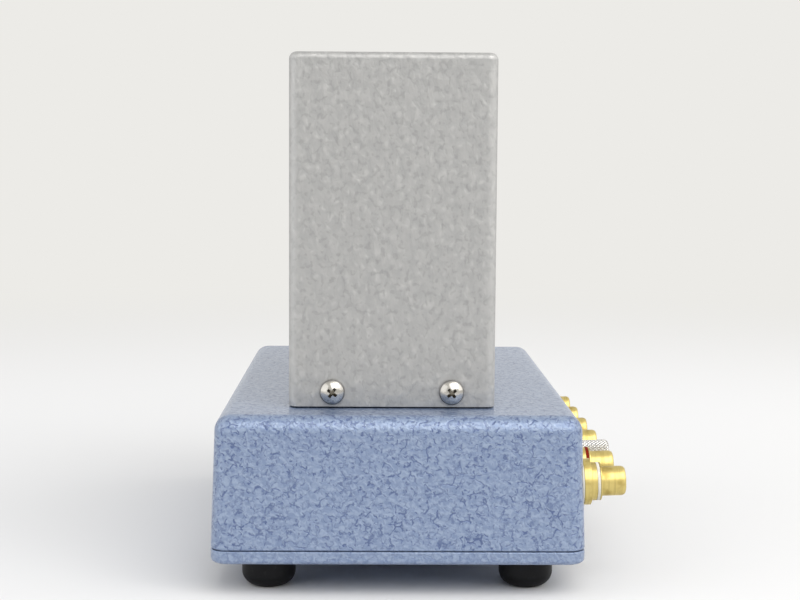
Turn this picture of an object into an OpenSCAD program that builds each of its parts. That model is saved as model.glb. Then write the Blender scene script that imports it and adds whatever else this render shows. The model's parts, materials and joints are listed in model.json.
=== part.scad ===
// Moving coil step-up transformer.
// A drafted box on rubber feet carries a tall cover with two shielded transformers under it.
// Six phono sockets and a ground post stand on the rear wall, square to its lean.
// X points at the rear wall, Y along the box, Z up. The floor is at Z = 0. Lengths are in millimetres.

/* [Box] */
// Width across the front and rear walls, at the open rim
box_w = 102.4; // [96:0.1:125]
// Length between the end walls, at the open rim
box_l = 161; // [150:0.5:190]
// Height from the open rim to the deck
box_h = 36.5; // [34:0.1:48]
// Thickness of the walls and the deck
wall = 2.2; // [1.6:0.1:2.8]
// Lean of the walls, in degrees
draft = 1.87; // [0:0.01:3]
// Radius of the upright corners
corner_r = 5; // [4.5:0.1:7]
// Rounding of the deck's edge
deck_edge_r = 4.5; // [3.2:0.1:4.5]
// Diameter of the screw columns in the corners
boss_d = 8; // [7:0.1:9]

/* [Base plate] */
// Thickness of the plate
plate_t = 4; // [3:0.1:6]
// Rounding of the plate's lower edge
plate_edge_r = 1.4; // [0.8:0.1:2.6]
// Height of the locating ribs on the plate
rib_h = 1.6; // [1:0.1:3]
// Thickness of the locating ribs
rib_t = 2; // [1:0.1:3]
// Length of the plate screws
plate_screw_l = 14; // [10:0.5:20]

/* [Feet] */
// Diameter of a foot
foot_d = 15; // [12:0.1:18]
// Height of a foot
foot_h = 9; // [7:0.1:14]
// Rounding of a foot's lower edge
foot_round = 4; // [1:0.1:4.2]
// Rubber left above the screw well
foot_web = 4; // [2.5:0.1:5]
// Distance between the feet across the box
foot_pitch = 72; // [56:0.5:74]
// Distance of a foot's centre from the end of the plate
foot_inset = 15.2; // [14:0.1:30]
// Diameter of the washer in the screw well
foot_washer_d = 6; // [5.8:0.1:6.4]
// Thickness of the washer in the screw well
foot_washer_t = 0.6; // [0.4:0.1:1]

/* [Cover] */
// Width of the cover
cover_w = 57.5; // [54:0.1:72]
// Length of the cover
cover_l = 129.5; // [120:0.5:140]
// Height of the cover
cover_h = 98; // [92:0.5:130]
// Sheet thickness of the cover
cover_wall = 1.2; // [0.8:0.1:1.6]
// Radius of the cover's upright corners
cover_corner_r = 2.8; // [2.2:0.1:5]
// Rounding of the cover's top edge
cover_edge_r = 2; // [1:0.1:2.2]
// Offset of the cover from the middle of the box, towards the rear wall
cover_shift = -1.8; // [-6:0.1:3]
// Gap between the cover and the deck
cover_gap = 0.4; // [0.1:0.1:1]
// Distance between the two screws in each end of the cover
cover_screw_pitch = 33.2; // [29:0.1:40]
// Height of the cover screws above the cover's foot
cover_screw_h = 4.2; // [4:0.1:8]
// Length of the cover screws
cover_screw_l = 8; // [5:0.5:10]
// Width of the brackets inside the cover
bracket_w = 46; // [42:0.5:48]
// Height of the brackets
bracket_h = 14; // [10:0.5:20]
// Length of the brackets' foot along the deck
bracket_leg = 14; // [11:0.5:15]
// Thickness of the brackets
bracket_t = 2; // [1.2:0.1:2.2]
// Distance between the two screws in each bracket's foot
bracket_screw_pitch = 14; // [8:0.5:18]

/* [Transformers] */
// Distance between the two transformers
trafo_pitch = 46; // [42:0.5:50]
// Stack height of the laminations
core_stack = 15; // [12:0.5:17]
// Width of the laminations
core_w = 28; // [26:0.5:31]
// Height of the laminations
core_h = 76; // [50:0.5:82]
// Width of the middle leg
middle_leg = 9; // [7:0.1:10]
// Width of the outer legs and the yokes
outer_leg = 4.5; // [3.5:0.1:5]
// Wall thickness of the bobbin
bobbin_t = 0.8; // [0.5:0.1:1]
// Depth of the primary winding
primary_t = 1.5; // [0.8:0.1:1.8]
// Depth of the secondary winding
secondary_t = 1.5; // [0.8:0.1:1.8]
// Sheet thickness of the shield can
shield_t = 1.2; // [0.6:0.1:1.6]
// Thickness of the felt pad over the core
pad_t = 3; // [1:0.1:5]
// Thickness of the shield can's base
shield_base_t = 3; // [2:0.1:4]
// Height of the spigot that centres the shield can
spigot_h = 2; // [1:0.1:3]

/* [Sockets] */
// Distance of the outer sockets from the ends of the box
socket_inset = 17.7; // [17:0.1:24]
// Extra space between the second and third socket, for the ground post
ground_space = 11.9; // [6:0.1:16]
// Height of the sockets above the box's rim
socket_h = 15.55; // [13:0.05:19]
// Thickness of the pale washer outside the wall
outer_washer_t = 1.2; // [0.3:0.1:1.5]
// Thickness of the washer inside the wall
inner_washer_t = 0.8; // [0.5:0.1:1.5]
// Wall thickness of the sleeve that the outer washer has in the wall
washer_sleeve_t = 0.6; // [0.4:0.1:1]
// Diameter of the flange
flange_d = 13; // [12.4:0.1:15]
// Thickness of the flange
flange_t = 2.2; // [1.5:0.1:4]
// Diameter of the collar that holds the coloured ring
collar_d = 10.7; // [10:0.1:11.6]
// Thickness of the collar behind the ring
collar_t = 1.65; // [1:0.05:3]
// Thickness of the coloured ring
ring_t = 0.8; // [0.5:0.1:2]
// Diameter that the ring sits on
ring_seat_d = 8.9; // [8.6:0.1:9.4]
// Thickness of the rim in front of the ring
rim_t = 0.5; // [0.3:0.1:1]
// Diameter of the barrel
barrel_d = 8.3; // [8.2:0.05:8.4]
// Length of the barrel
barrel_l = 6.85; // [6:0.05:9]
// Rounding of the barrel's mouth, towards the axis
barrel_round = 0.8; // [0.2:0.1:0.8]
// Rounding of the barrel's mouth, along the axis
barrel_nose_l = 1.4; // [0.4:0.1:2]
// Diameter of the barrel's bore
barrel_bore_d = 6.4; // [6:0.1:6.6]
// Diameter of the socket's thread
thread_d = 9; // [8.5:0.1:9.5]
// Width of the socket's nut across its flats
socket_nut_af = 12; // [11:0.1:13]
// Thickness of the socket's nut
socket_nut_t = 2.4; // [1.5:0.1:3]
// Thread that shows behind a nut
thread_spare = 1; // [0.4:0.1:2]
// Diameter of the centre contact
contact_d = 4.2; // [3.9:0.1:4.4]
// Diameter of the contact's bore, for a plug's pin
pin_bore_d = 3.3; // [3.2:0.05:3.4]
// Depth of the contact's bore
pin_bore_l = 8; // [6:0.1:8.4]
// Depth of the insulator's face behind the barrel's mouth
face_recess = 0.8; // [0.3:0.1:1.5]
// Diameter of the contact's tail
tail_d = 2.2; // [1.6:0.1:3]
// Length of the contact's tail behind the thread
tail_l = 6; // [4:0.1:8]
// Length of the insulator behind the thread
insulator_spare = 0.4; // [0.2:0.1:1]

/* [Ground post] */
// Diameter of the stud
stud_d = 4; // [3.5:0.1:4.5]
// Diameter of the stud's collar
stud_collar_d = 9; // [8:0.1:11]
// Thickness of the stud's collar
stud_collar_t = 2; // [1:0.1:3]
// Diameter of the clamp washer
clamp_washer_d = 8.4; // [7.5:0.1:9]
// Thickness of the clamp washer
clamp_washer_t = 0.8; // [0.5:0.1:1.5]
// Diameter of the thumb nut over its knurl
thumb_nut_d = 8.5; // [8:0.1:11]
// Length of the thumb nut
thumb_nut_l = 11.4; // [8:0.1:14]
// Chamfer at both ends of the thumb nut
thumb_nut_chamfer = 0.7; // [0.3:0.1:1]
// Depth of the knurl
knurl_depth = 0.28; // [0.1:0.01:0.35]
// Number of knurl grooves of one hand around the nut
knurl_count = 26; // [16:1:36]
// Depth of the stud's end inside the thumb nut
stud_recess = 1.2; // [0.4:0.1:3]

/* [Wiring] */
// Diameter of the insulated leads
lead_d = 1.2; // [0.8:0.1:1.3]
// Gap between neighbouring leads in a bushing
lead_gap = 0.2; // [0.1:0.05:0.4]
// Diameter of the bare ground wire
bus_d = 1.2; // [0.8:0.1:1.6]
// Height of the ground wire above the sockets' axis
bus_h = 9; // [8.4:0.1:10]
// Diameter of the solder tags
tag_d = 12.4; // [11:0.1:13]
// Width of a solder tag's tab
tag_w = 3.5; // [2:0.1:5]
// Reach of a solder tag's tab above the sockets' axis
tag_reach = 11; // [10.4:0.1:12]
// Thickness of a solder tag
tag_t = 0.5; // [0.3:0.1:0.8]
// Wall thickness of the lead bushings
bushing_t = 0.6; // [0.4:0.1:1]
// Thickness of the bushings' flange
bushing_flange_t = 1.5; // [0.8:0.1:2]
// Width of the bushings' flange beyond the sleeve
bushing_flange_w = 1.4; // [0.8:0.1:2]

/* [Fasteners] */
// Diameter of the large screws
m4_d = 4; // [3.6:0.1:4.2]
// Head diameter of the large pan head screws
m4_head_d = 7; // [6.4:0.1:7.6]
// Head height of the large pan head screws
m4_head_h = 2.4; // [1.8:0.1:2.8]
// Head diameter of the countersunk screws
csk_head_d = 7.5; // [7:0.1:8.2]
// Width of the stud's nut across its flats
stud_nut_af = 7; // [6.5:0.1:8]
// Thickness of the stud's nut
stud_nut_t = 3.2; // [2:0.1:3.6]
// Diameter of the small screws
m3_d = 3; // [2.6:0.1:3.2]
// Head diameter of the small screws
m3_head_d = 5.5; // [5:0.1:6]
// Head height of the small screws
m3_head_h = 2; // [1.4:0.1:2.4]
// Width of the small nuts across their flats
m3_nut_af = 5.5; // [5:0.1:6]
// Thickness of the small nuts
m3_nut_t = 2.4; // [1.6:0.1:2.8]
// Screw length that shows behind a nut
screw_spare = 0.8; // [0.2:0.1:1.5]

/* [Clearances] */
// Radial gap of a part that fits closely in a hole
fit_gap = 0.05; // [0.02:0.01:0.1]
// Radial gap of a screw in a plain hole
hole_gap = 0.2; // [0.1:0.05:0.4]
// Gap between flat faces that part when the ground post is opened
seat_gap = 0.1; // [0.05:0.01:0.2]
// Gap between the plate's ribs and the box
rib_gap = 0.3; // [0.15:0.05:0.6]
// Gap between neighbouring pieces inside a transformer
layer_gap = 0.15; // [0.05:0.01:0.2]
// Gap around the core in its shield can
core_gap = 0.5; // [0.2:0.1:1]

/* [Hidden] */

$fn = 64;
hull_fn = 32;
arc_step = 15;
hull_disc_t = 0.05;
cut = 1;
left = -1;
right = 1;

// Proportions of a screw head
head_edge_share = 1 / 3;
recess_span_share = 0.56;
recess_slot_share = 0.15;
recess_depth_share = 0.62;

// Heights of the stack, from the floor up
plate_z = foot_h;
rim_z = plate_z + plate_t;
deck_z = rim_z + box_h;
deck_under_z = deck_z - wall;
cover_z = deck_z + cover_gap;

// Screw columns in the box's corners, sunk a little into the walls
boss_bite = 0.3;
boss_inset = boss_d / 2 + wall - boss_bite;
boss_x = box_w / 2 - boss_inset;
boss_y = box_l / 2 - boss_inset;
boss_h = box_h - deck_edge_r;
boss_hole_spare = 2;
csk_h = (csk_head_d - m4_d) / 2;

// Feet
foot_x = foot_pitch / 2;
foot_y = box_l / 2 - foot_inset;
foot_well_h = foot_h - foot_web;
foot_well_d = foot_washer_d + 2 * fit_gap;
foot_land = 0.3;
foot_edge_r = min(foot_round, (foot_d - foot_well_d) / 2 - foot_land);
foot_screw_l = foot_washer_t + foot_web + plate_t + m3_nut_t + screw_spare;

// Cover and brackets
cover_inner_y = cover_l / 2 - cover_wall;
least_inner_r = 0.3;
least_inner_edge_r = 0.15;
cover_inner_r = max(cover_corner_r - cover_wall, least_inner_r);
cover_inner_edge_r = max(cover_edge_r - cover_wall, least_inner_edge_r);
bracket_screw_y = cover_inner_y - bracket_t - (bracket_leg - bracket_t) / 2;
bracket_screw_l = bracket_t + wall + m3_nut_t + screw_spare;
cover_screw_turns = [55, 39, 75, 28];

// Transformer, from the middle leg outwards
trafo_y = trafo_pitch / 2;
window_w = (core_w - middle_leg) / 2 - outer_leg;
window_h = core_h - 2 * outer_leg;
bobbin_bore = [core_stack + 2 * layer_gap, middle_leg + 2 * layer_gap];
bobbin_tube = bobbin_bore + 2 * bobbin_t * [1, 1];
primary_bore = bobbin_tube + 2 * fit_gap * [1, 1];
primary_out = primary_bore + 2 * primary_t * [1, 1];
secondary_bore = primary_out + 2 * fit_gap * [1, 1];
secondary_out = secondary_bore + 2 * secondary_t * [1, 1];
bobbin_flange = [secondary_out.x + 2 * layer_gap, middle_leg + 2 * (window_w - layer_gap)];
bobbin_h = window_h - layer_gap;
winding_h = bobbin_h - 2 * bobbin_t - 2 * layer_gap;

// Lead bushing beside the winding, with four leads in a row
lead_slots = 4;
lead_pitch = lead_d + lead_gap;
bushing_bore_r = (lead_slots - 1) / 2 * lead_pitch + lead_d / 2 + fit_gap;
bushing_r = bushing_bore_r + bushing_t;
lead_x = bobbin_flange.x / 2 + lead_d / 2 + layer_gap;

// Shield can around the core and the bushing
shield_in_r = max(norm([core_stack, core_w]) / 2, lead_x + bushing_r) + core_gap;
shield_r = shield_in_r + shield_t;
shield_can_h = spigot_h + core_h + pad_t + shield_t;
shield_can_z = deck_z + shield_base_t;
core_z = shield_can_z + spigot_h;
bobbin_z = core_z + outer_leg;
winding_z = bobbin_z + bobbin_t + layer_gap;
ear_margin = 0.75;
ear_r = m3_head_d / 2 + ear_margin;
ear_x = shield_r + ear_margin + m3_head_d / 2;
trafo_screw_l = shield_base_t + wall + m3_nut_t + screw_spare;

// Rear wall: its axis point and thickness square to the lean
wall_n = wall * cos(draft);
rear_x = box_w / 2 - socket_h * tan(draft);
socket_z = rim_z + socket_h;
socket_count = 6;
sockets_before_ground = 2;
socket_pitch = (box_l - 2 * socket_inset - ground_space) / (socket_count - 1);
ground_y = (socket_y(sockets_before_ground - 1) + socket_y(sockets_before_ground)) / 2;

// Levels along a socket's axis, outwards from the wall's face
collar_u = outer_washer_t + flange_t;
ring_u = collar_u + collar_t;
rim_u = ring_u + ring_t;
barrel_u = rim_u + rim_t;
tip_u = barrel_u + barrel_l;
face_u = tip_u - face_recess;
contact_mouth_u = face_u - fit_gap;
inner_washer_u = -wall_n - inner_washer_t;
tag_u = inner_washer_u - tag_t;
socket_nut_u = tag_u - socket_nut_t;
thread_end_u = socket_nut_u - thread_spare;
insulator_back_u = thread_end_u - insulator_spare;
tail_end_u = thread_end_u - tail_l;
shell_chamfer = 0.25;
washer_sleeve_d = thread_d + 2 * fit_gap + 2 * washer_sleeve_t;
socket_hole_d = washer_sleeve_d + 2 * fit_gap;

// Levels along the ground post's axis
clamp_washer_u = stud_collar_t + seat_gap;
thumb_nut_u = clamp_washer_u + clamp_washer_t + seat_gap;
thumb_nut_tip_u = thumb_nut_u + thumb_nut_l;
stud_tip_u = thumb_nut_tip_u - stud_recess;
stud_nut_u = tag_u - stud_nut_t;
stud_end_u = stud_nut_u - thread_spare;

// Ground wire behind the tags
bus_u = tag_u - bus_d / 2 - fit_gap;
bus_overhang = 3;

// Middle of the whole outline across the box
thumb_nut_end_r = thumb_nut_d / 2 - thumb_nut_chamfer;
reach_x = rear_x + thumb_nut_tip_u * cos(draft) + thumb_nut_end_r * sin(draft);
middle_x = (reach_x - box_w / 2) / 2;

// Signal leads: side, bushing slot, socket, lane beside the bushing, lane below the deck, fan along Y
SIGNAL_LEADS = [
    [left, 0, 0, 9, 11, -6],
    [left, 2, 2, 12, 11, 7],
    [left, 3, 4, 9, 11, 11],
    [right, 0, 1, 3, 15, -8],
    [right, 1, 3, 6, 14, -4],
    [right, 3, 5, 3, 15, 8]
];
COMMON_LEADS = [[left, 1], [right, 2]];
lead_sides = 8;
lead_rise = 4;
lead_turn = 4;
lead_bend = 1.5;
lead_bend_share = 0.4;
lead_approach = 5;

function socket_y(i) =
    -box_l / 2 + socket_inset + i * socket_pitch + (i < sockets_before_ground ? 0 : ground_space);

// A point beside the rear wall: along the box, up the wall, and out of the wall
function wall_point(y, up, out) = [
    rear_x + out * cos(draft) - up * sin(draft), y, socket_z + out * sin(draft) + up * cos(draft)
];

function unit(v) = v / norm(v);
function tangents(p) = [
    for (i = [0 : len(p) - 1]) unit(p[min(i + 1, len(p) - 1)] - p[max(i - 1, 0)])
];
function carried_normals(t, n, i = 0) =
    i == len(t) ? [] : let (m = unit(n - (n * t[i]) * t[i])) concat([m], carried_normals(t, m, i + 1));
function step_towards(a, b, d) = a + unit(b - a) * min(d, norm(b - a) * lead_bend_share);
function cut_corners(p, d) = concat(
    [p[0]],
    [for (i = [1 : len(p) - 2]) each [step_towards(p[i], p[i - 1], d), step_towards(p[i], p[i + 1], d)]],
    [p[len(p) - 1]]
);

function slot_y(side, slot) = side * trafo_y + (slot - (lead_slots - 1) / 2) * lead_pitch;
function lead_drop(side, slot) = let (
    x = cover_shift + lead_x,
    y = slot_y(side, slot),
    z = winding_z + lead_rise,
    start_x = cover_shift + secondary_out.x / 2 + fit_gap
) [
    [start_x, y, z],
    [x, y, z],
    [x, y, deck_under_z - bushing_flange_t - lead_bend]
];
function signal_route(lead) = let (
    x = cover_shift + lead_x + lead[3],
    y = socket_y(lead[2]),
    z = deck_under_z - lead[4],
    lane_y = lead[0] * trafo_y + lead[5],
    turn = min(lead_turn, abs(y - lane_y) / 2)
) concat(lead_drop(lead[0], lead[1]), [
    [x, lane_y, z],
    [x, y - sign(y - lane_y) * turn, z],
    [x + lead_turn, y, z - lead_bend],
    wall_point(y, 0, tail_end_u - lead_approach),
    wall_point(y, 0, tail_end_u - fit_gap)
]);
function common_route(lead) = let (
    y = slot_y(lead[0], lead[1]),
    end_u = bus_u - bus_d / 2 - fit_gap
) concat(lead_drop(lead[0], lead[1]), [
    wall_point(y, bus_h, end_u - lead_approach),
    wall_point(y, bus_h, end_u)
]);

// Placement

module centred() translate([-middle_x, 0, 0]) children();

module at_corners(x, y, z) {
    for (sx = [-1, 1], sy = [-1, 1])
        translate([sx * x, sy * y, z]) children();
}

module on_rear_wall(y) {
    translate([rear_x, y, socket_z])
        rotate([0, 90 - draft, 0])
            children();
}

module at_sockets() {
    for (i = [0 : socket_count - 1])
        on_rear_wall(socket_y(i)) children();
}

module at_cover_screws() {
    for (i = [0 : 3]) {
        end = i < 2 ? -1 : 1;
        across = i % 2 == 0 ? -1 : 1;
        x = cover_shift + across * cover_screw_pitch / 2;
        translate([x, end * cover_l / 2, cover_z + cover_screw_h])
            rotate([-90 * end, 0, 0])
                rotate([0, 0, cover_screw_turns[i]])
                    children();
    }
}

module at_bracket_screws(z) {
    translate([cover_shift, 0, 0])
        at_corners(bracket_screw_pitch / 2, bracket_screw_y, z) children();
}

module at_trafo(side, z) translate([cover_shift, side * trafo_y, z]) children();

module at_trafo_screws(z) {
    translate([cover_shift, 0, 0])
        at_corners(ear_x, trafo_y, z) children();
}

// Shared shapes

// Disc with a rounded upper edge
module soft_disc(r, edge) {
    profile = concat(
        [[0, 0]],
        [for (a = [0 : arc_step : 90]) [r - edge + edge * cos(a), edge * sin(a)]],
        [[0, edge]]
    );
    rotate_extrude($fn = hull_fn) polygon(profile);
}

// Block with round upright corners, leaning walls and a rounded upper edge
module drafted_block(size, r, edge_r, lean) {
    edge = min(edge_r, r - hull_disc_t);
    shift = (size.z - edge) * tan(lean);
    hull() {
        at_corners(size.x / 2 - r, size.y / 2 - r, 0)
            cylinder(r = r, h = hull_disc_t, $fn = hull_fn);
        at_corners(size.x / 2 - r - shift, size.y / 2 - r - shift, size.z - edge)
            soft_disc(r, edge);
    }
}

module cross_recess(head_d, head_h) {
    span = recess_span_share * head_d;
    slot = recess_slot_share * head_d;
    depth = recess_depth_share * head_h;
    translate([-span / 2, -slot / 2, head_h - depth]) cube([span, slot, depth + cut]);
    translate([-slot / 2, -span / 2, head_h - depth]) cube([slot, span, depth + cut]);
}

// Pan head screw, head above Z = 0
module pan_screw(d, head_d, head_h, length) {
    edge_h = head_edge_share * head_h;
    rise = head_h - edge_h;
    dome_r = (pow(head_d / 2, 2) + pow(rise, 2)) / (2 * rise);
    difference() {
        union() {
            intersection() {
                cylinder(d = head_d, h = head_h);
                translate([0, 0, head_h - dome_r]) sphere(r = dome_r);
            }
            translate([0, 0, -length]) cylinder(d = d, h = length + edge_h);
        }
        cross_recess(head_d, head_h);
    }
}

module hex_nut(d, af, t) {
    difference() {
        cylinder(d = af / cos(30), h = t, $fn = 6);
        translate([0, 0, -cut]) cylinder(d = d + 2 * fit_gap, h = t + 2 * cut);
    }
}

module flat_ring(inner_d, outer_d, t) {
    difference() {
        cylinder(d = outer_d, h = t);
        translate([0, 0, -cut]) cylinder(d = inner_d, h = t + 2 * cut);
    }
}

module plate_at(size, z, h) {
    translate([-size.x / 2, -size.y / 2, z]) cube([size.x, size.y, h]);
}

module square_tube(inner, outer, z, h) {
    difference() {
        plate_at(outer, z, h);
        plate_at(inner, z - cut, h + 2 * cut);
    }
}

// Round wire along a route, with its bends eased
module wire(route, d) {
    p = cut_corners(route, lead_bend);
    t = tangents(p);
    n = carried_normals(t, [0, 0, 1]);
    last = len(p) - 1;
    points = [
        for (i = [0 : last], k = [0 : lead_sides - 1])
            let (a = k * 360 / lead_sides)
                p[i] + d / 2 * (cos(a) * n[i] + sin(a) * cross(t[i], n[i]))
    ];
    walls = [
        for (i = [0 : last - 1], k = [0 : lead_sides - 1])
            let (
                k1 = (k + 1) % lead_sides,
                low = i * lead_sides,
                high = low + lead_sides
            )
                each [[low + k, high + k, high + k1], [low + k, high + k1, low + k1]]
    ];
    start_cap = [for (k = [0 : lead_sides - 1]) k];
    end_cap = [for (k = [lead_sides - 1 : -1 : 0]) last * lead_sides + k];
    polyhedron(points = points, faces = concat(walls, [start_cap, end_cap]));
}

// Box and base plate

module chassis_box() centred() color("LightSteelBlue") {
    wall_shift = 2 * (wall - cut * tan(draft));
    difference() {
        translate([0, 0, rim_z])
            drafted_block([box_w, box_l, box_h], corner_r, deck_edge_r, draft);
        difference() {
            translate([0, 0, rim_z - cut])
                drafted_block(
                    [box_w - wall_shift, box_l - wall_shift, box_h - wall + cut],
                    corner_r - wall, deck_edge_r - wall, draft
                );
            at_corners(boss_x, boss_y, rim_z - cut) cylinder(d = boss_d, h = boss_h + cut);
        }
        at_corners(boss_x, boss_y, rim_z - cut)
            cylinder(d = m4_d + 2 * fit_gap, h = plate_screw_l - plate_t + boss_hole_spare + cut);
        at_sockets() wall_hole(socket_hole_d);
        on_rear_wall(ground_y) wall_hole(stud_d + 2 * fit_gap);
        at_bracket_screws(deck_under_z) deck_hole(m3_d + 2 * hole_gap);
        at_trafo_screws(deck_under_z) deck_hole(m3_d + 2 * hole_gap);
        for (side = [left, right])
            at_trafo(side, deck_under_z)
                translate([lead_x, 0, 0]) deck_hole(2 * (bushing_r + fit_gap));
    }
}

module wall_hole(d) translate([0, 0, -wall - cut]) cylinder(d = d, h = wall + 2 * cut);

module deck_hole(d) translate([0, 0, -cut]) cylinder(d = d, h = wall + 2 * cut);

module base_plate() centred() color("LightSteelBlue") {
    rib_x = box_w / 2 - wall - rib_gap - rib_t;
    rib_y = box_l / 2 - wall - rib_gap - rib_t;
    side_rib_l = 2 * (boss_y - boss_d / 2 - rib_gap);
    end_rib_l = 2 * (boss_x - boss_d / 2 - rib_gap);
    difference() {
        union() {
            translate([0, 0, rim_z]) mirror([0, 0, 1])
                drafted_block([box_w, box_l, plate_t], corner_r, plate_edge_r, 0);
            for (s = [-1, 1]) {
                translate([s * (rib_x + rib_t / 2), 0, 0])
                    plate_at([rib_t, side_rib_l], rim_z - cut, rib_h + cut);
                translate([0, s * (rib_y + rib_t / 2), 0])
                    plate_at([end_rib_l, rib_t], rim_z - cut, rib_h + cut);
            }
        }
        at_corners(boss_x, boss_y, plate_z) {
            translate([0, 0, -cut]) cylinder(d = m4_d + 2 * hole_gap, h = plate_t + 2 * cut);
            cylinder(d1 = csk_head_d + 2 * fit_gap, d2 = m4_d + 2 * fit_gap, h = csk_h);
        }
        at_corners(foot_x, foot_y, plate_z - cut)
            cylinder(d = m3_d + 2 * hole_gap, h = plate_t + 2 * cut);
    }
}

module base_plate_screws() centred() color("Silver")
    at_corners(boss_x, boss_y, plate_z)
        difference() {
            union() {
                cylinder(d1 = csk_head_d, d2 = m4_d, h = csk_h);
                cylinder(d = m4_d, h = plate_screw_l);
            }
            mirror([0, 0, 1]) translate([0, 0, -m4_head_h]) cross_recess(m4_head_d, m4_head_h);
        }

// Feet

module foot(across, along) centred() color("DimGray") {
    r = foot_d / 2;
    flat_r = r - foot_edge_r;
    profile = concat(
        [[0, foot_h], [0, 0]],
        [for (a = [-90 : arc_step : 0]) [flat_r + foot_edge_r * cos(a), foot_edge_r * (1 + sin(a))]],
        [[r, foot_h]]
    );
    translate([across * foot_x, along * foot_y, 0])
        difference() {
            rotate_extrude() polygon(profile);
            translate([0, 0, -cut]) cylinder(d = foot_well_d, h = foot_well_h + cut);
            cylinder(d = m3_d + 2 * hole_gap, h = foot_h + cut);
        }
}

module foot_screws() centred() color("Silver")
    at_corners(foot_x, foot_y, foot_well_h - foot_washer_t)
        mirror([0, 0, 1]) pan_screw(m3_d, m3_head_d, m3_head_h, foot_screw_l);

module foot_washers() centred() color("Silver")
    at_corners(foot_x, foot_y, foot_well_h - foot_washer_t)
        flat_ring(m3_d + 2 * hole_gap, foot_washer_d, foot_washer_t);

module foot_nuts() centred() color("Silver")
    at_corners(foot_x, foot_y, rim_z) hex_nut(m3_d, m3_nut_af, m3_nut_t);

// Cover, its screws and its brackets

module transformer_cover() centred() color("Gainsboro")
    difference() {
        translate([cover_shift, 0, cover_z])
            drafted_block([cover_w, cover_l, cover_h], cover_corner_r, cover_edge_r, 0);
        translate([cover_shift, 0, cover_z - cut])
            drafted_block(
                [cover_w - 2 * cover_wall, cover_l - 2 * cover_wall, cover_h - cover_wall + cut],
                cover_inner_r, cover_inner_edge_r, 0
            );
        at_cover_screws()
            translate([0, 0, -cover_wall - cut])
                cylinder(d = m4_d + 2 * hole_gap, h = cover_wall + 2 * cut);
    }

module cover_screws() centred() color("Silver")
    at_cover_screws() pan_screw(m4_d, m4_head_d, m4_head_h, cover_screw_l);

module cover_bracket(end) centred() color("Silver")
    difference() {
        mirror([0, end < 0 ? 1 : 0, 0])
            translate([cover_shift - bracket_w / 2, cover_inner_y, deck_z]) {
                translate([0, -bracket_t, 0]) cube([bracket_w, bracket_t, bracket_h]);
                translate([0, -bracket_leg, 0]) cube([bracket_w, bracket_leg, bracket_t]);
            }
        at_cover_screws()
            translate([0, 0, -cover_wall - bracket_t - cut])
                cylinder(d = m4_d + 2 * fit_gap, h = bracket_t + 2 * cut);
        at_bracket_screws(deck_z - cut) cylinder(d = m3_d + 2 * hole_gap, h = bracket_t + 2 * cut);
    }

module bracket_screws() centred() color("Silver")
    at_bracket_screws(deck_z + bracket_t) pan_screw(m3_d, m3_head_d, m3_head_h, bracket_screw_l);

module bracket_nuts() centred() color("Silver")
    at_bracket_screws(deck_under_z - m3_nut_t) hex_nut(m3_d, m3_nut_af, m3_nut_t);

// Transformers

module shield_base(side) centred() color("DarkGray")
    at_trafo(side, deck_z)
        difference() {
            union() {
                cylinder(r = shield_r, h = shield_base_t);
                cylinder(r = shield_in_r - fit_gap, h = shield_base_t + spigot_h);
                plate_at([2 * ear_x, 2 * ear_r], 0, shield_base_t);
                for (s = [-1, 1])
                    translate([s * ear_x, 0, 0]) cylinder(r = ear_r, h = shield_base_t);
            }
            for (s = [-1, 1])
                translate([s * ear_x, 0, -cut])
                    cylinder(d = m3_d + 2 * hole_gap, h = shield_base_t + 2 * cut);
            translate([lead_x, 0, -cut])
                cylinder(r = bushing_r + fit_gap, h = shield_base_t + spigot_h + 2 * cut);
        }

module shield_can(side) centred() color("DarkGray")
    at_trafo(side, shield_can_z)
        difference() {
            cylinder(r = shield_r, h = shield_can_h);
            translate([0, 0, -cut]) cylinder(r = shield_in_r, h = shield_can_h - shield_t + cut);
        }

module core(side) centred() color("SlateGray")
    at_trafo(side, 0)
        difference() {
            plate_at([core_stack, core_w], core_z, core_h);
            for (s = [-1, 1])
                translate([0, s * (middle_leg + window_w) / 2, 0])
                    plate_at([core_stack + 2 * cut, window_w], bobbin_z, window_h);
        }

module bobbin(side) centred() color("Ivory")
    at_trafo(side, 0)
        difference() {
            union() {
                plate_at(bobbin_tube, bobbin_z, bobbin_h);
                plate_at(bobbin_flange, bobbin_z, bobbin_t);
                plate_at(bobbin_flange, bobbin_z + bobbin_h - bobbin_t, bobbin_t);
            }
            plate_at(bobbin_bore, bobbin_z - cut, bobbin_h + 2 * cut);
        }

module primary_winding(side) centred() color("Peru")
    at_trafo(side, 0) square_tube(primary_bore, primary_out, winding_z, winding_h);

module secondary_winding(side) centred() color("Chocolate")
    at_trafo(side, 0) square_tube(secondary_bore, secondary_out, winding_z, winding_h);

module felt_pad(side) centred() color("DarkOliveGreen")
    at_trafo(side, core_z + core_h) cylinder(r = shield_in_r - hole_gap, h = pad_t);

module transformer_screws() centred() color("Silver")
    at_trafo_screws(shield_can_z) pan_screw(m3_d, m3_head_d, m3_head_h, trafo_screw_l);

module transformer_nuts() centred() color("Silver")
    at_trafo_screws(deck_under_z - m3_nut_t) hex_nut(m3_d, m3_nut_af, m3_nut_t);

// Wiring

module lead_bushings() centred() color("WhiteSmoke")
    for (side = [left, right])
        at_trafo(side, deck_under_z - bushing_flange_t)
            translate([lead_x, 0, 0])
                difference() {
                    union() {
                        cylinder(r = bushing_r, h = core_z - deck_under_z + bushing_flange_t);
                        cylinder(r = bushing_r + bushing_flange_w, h = bushing_flange_t);
                    }
                    translate([0, 0, -cut])
                        cylinder(r = bushing_bore_r, h = core_z - deck_under_z + bushing_flange_t + 2 * cut);
                }

module signal_leads(side, shade) centred() color(shade)
    for (lead = SIGNAL_LEADS)
        if (lead[0] == side) wire(signal_route(lead), lead_d);

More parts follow.
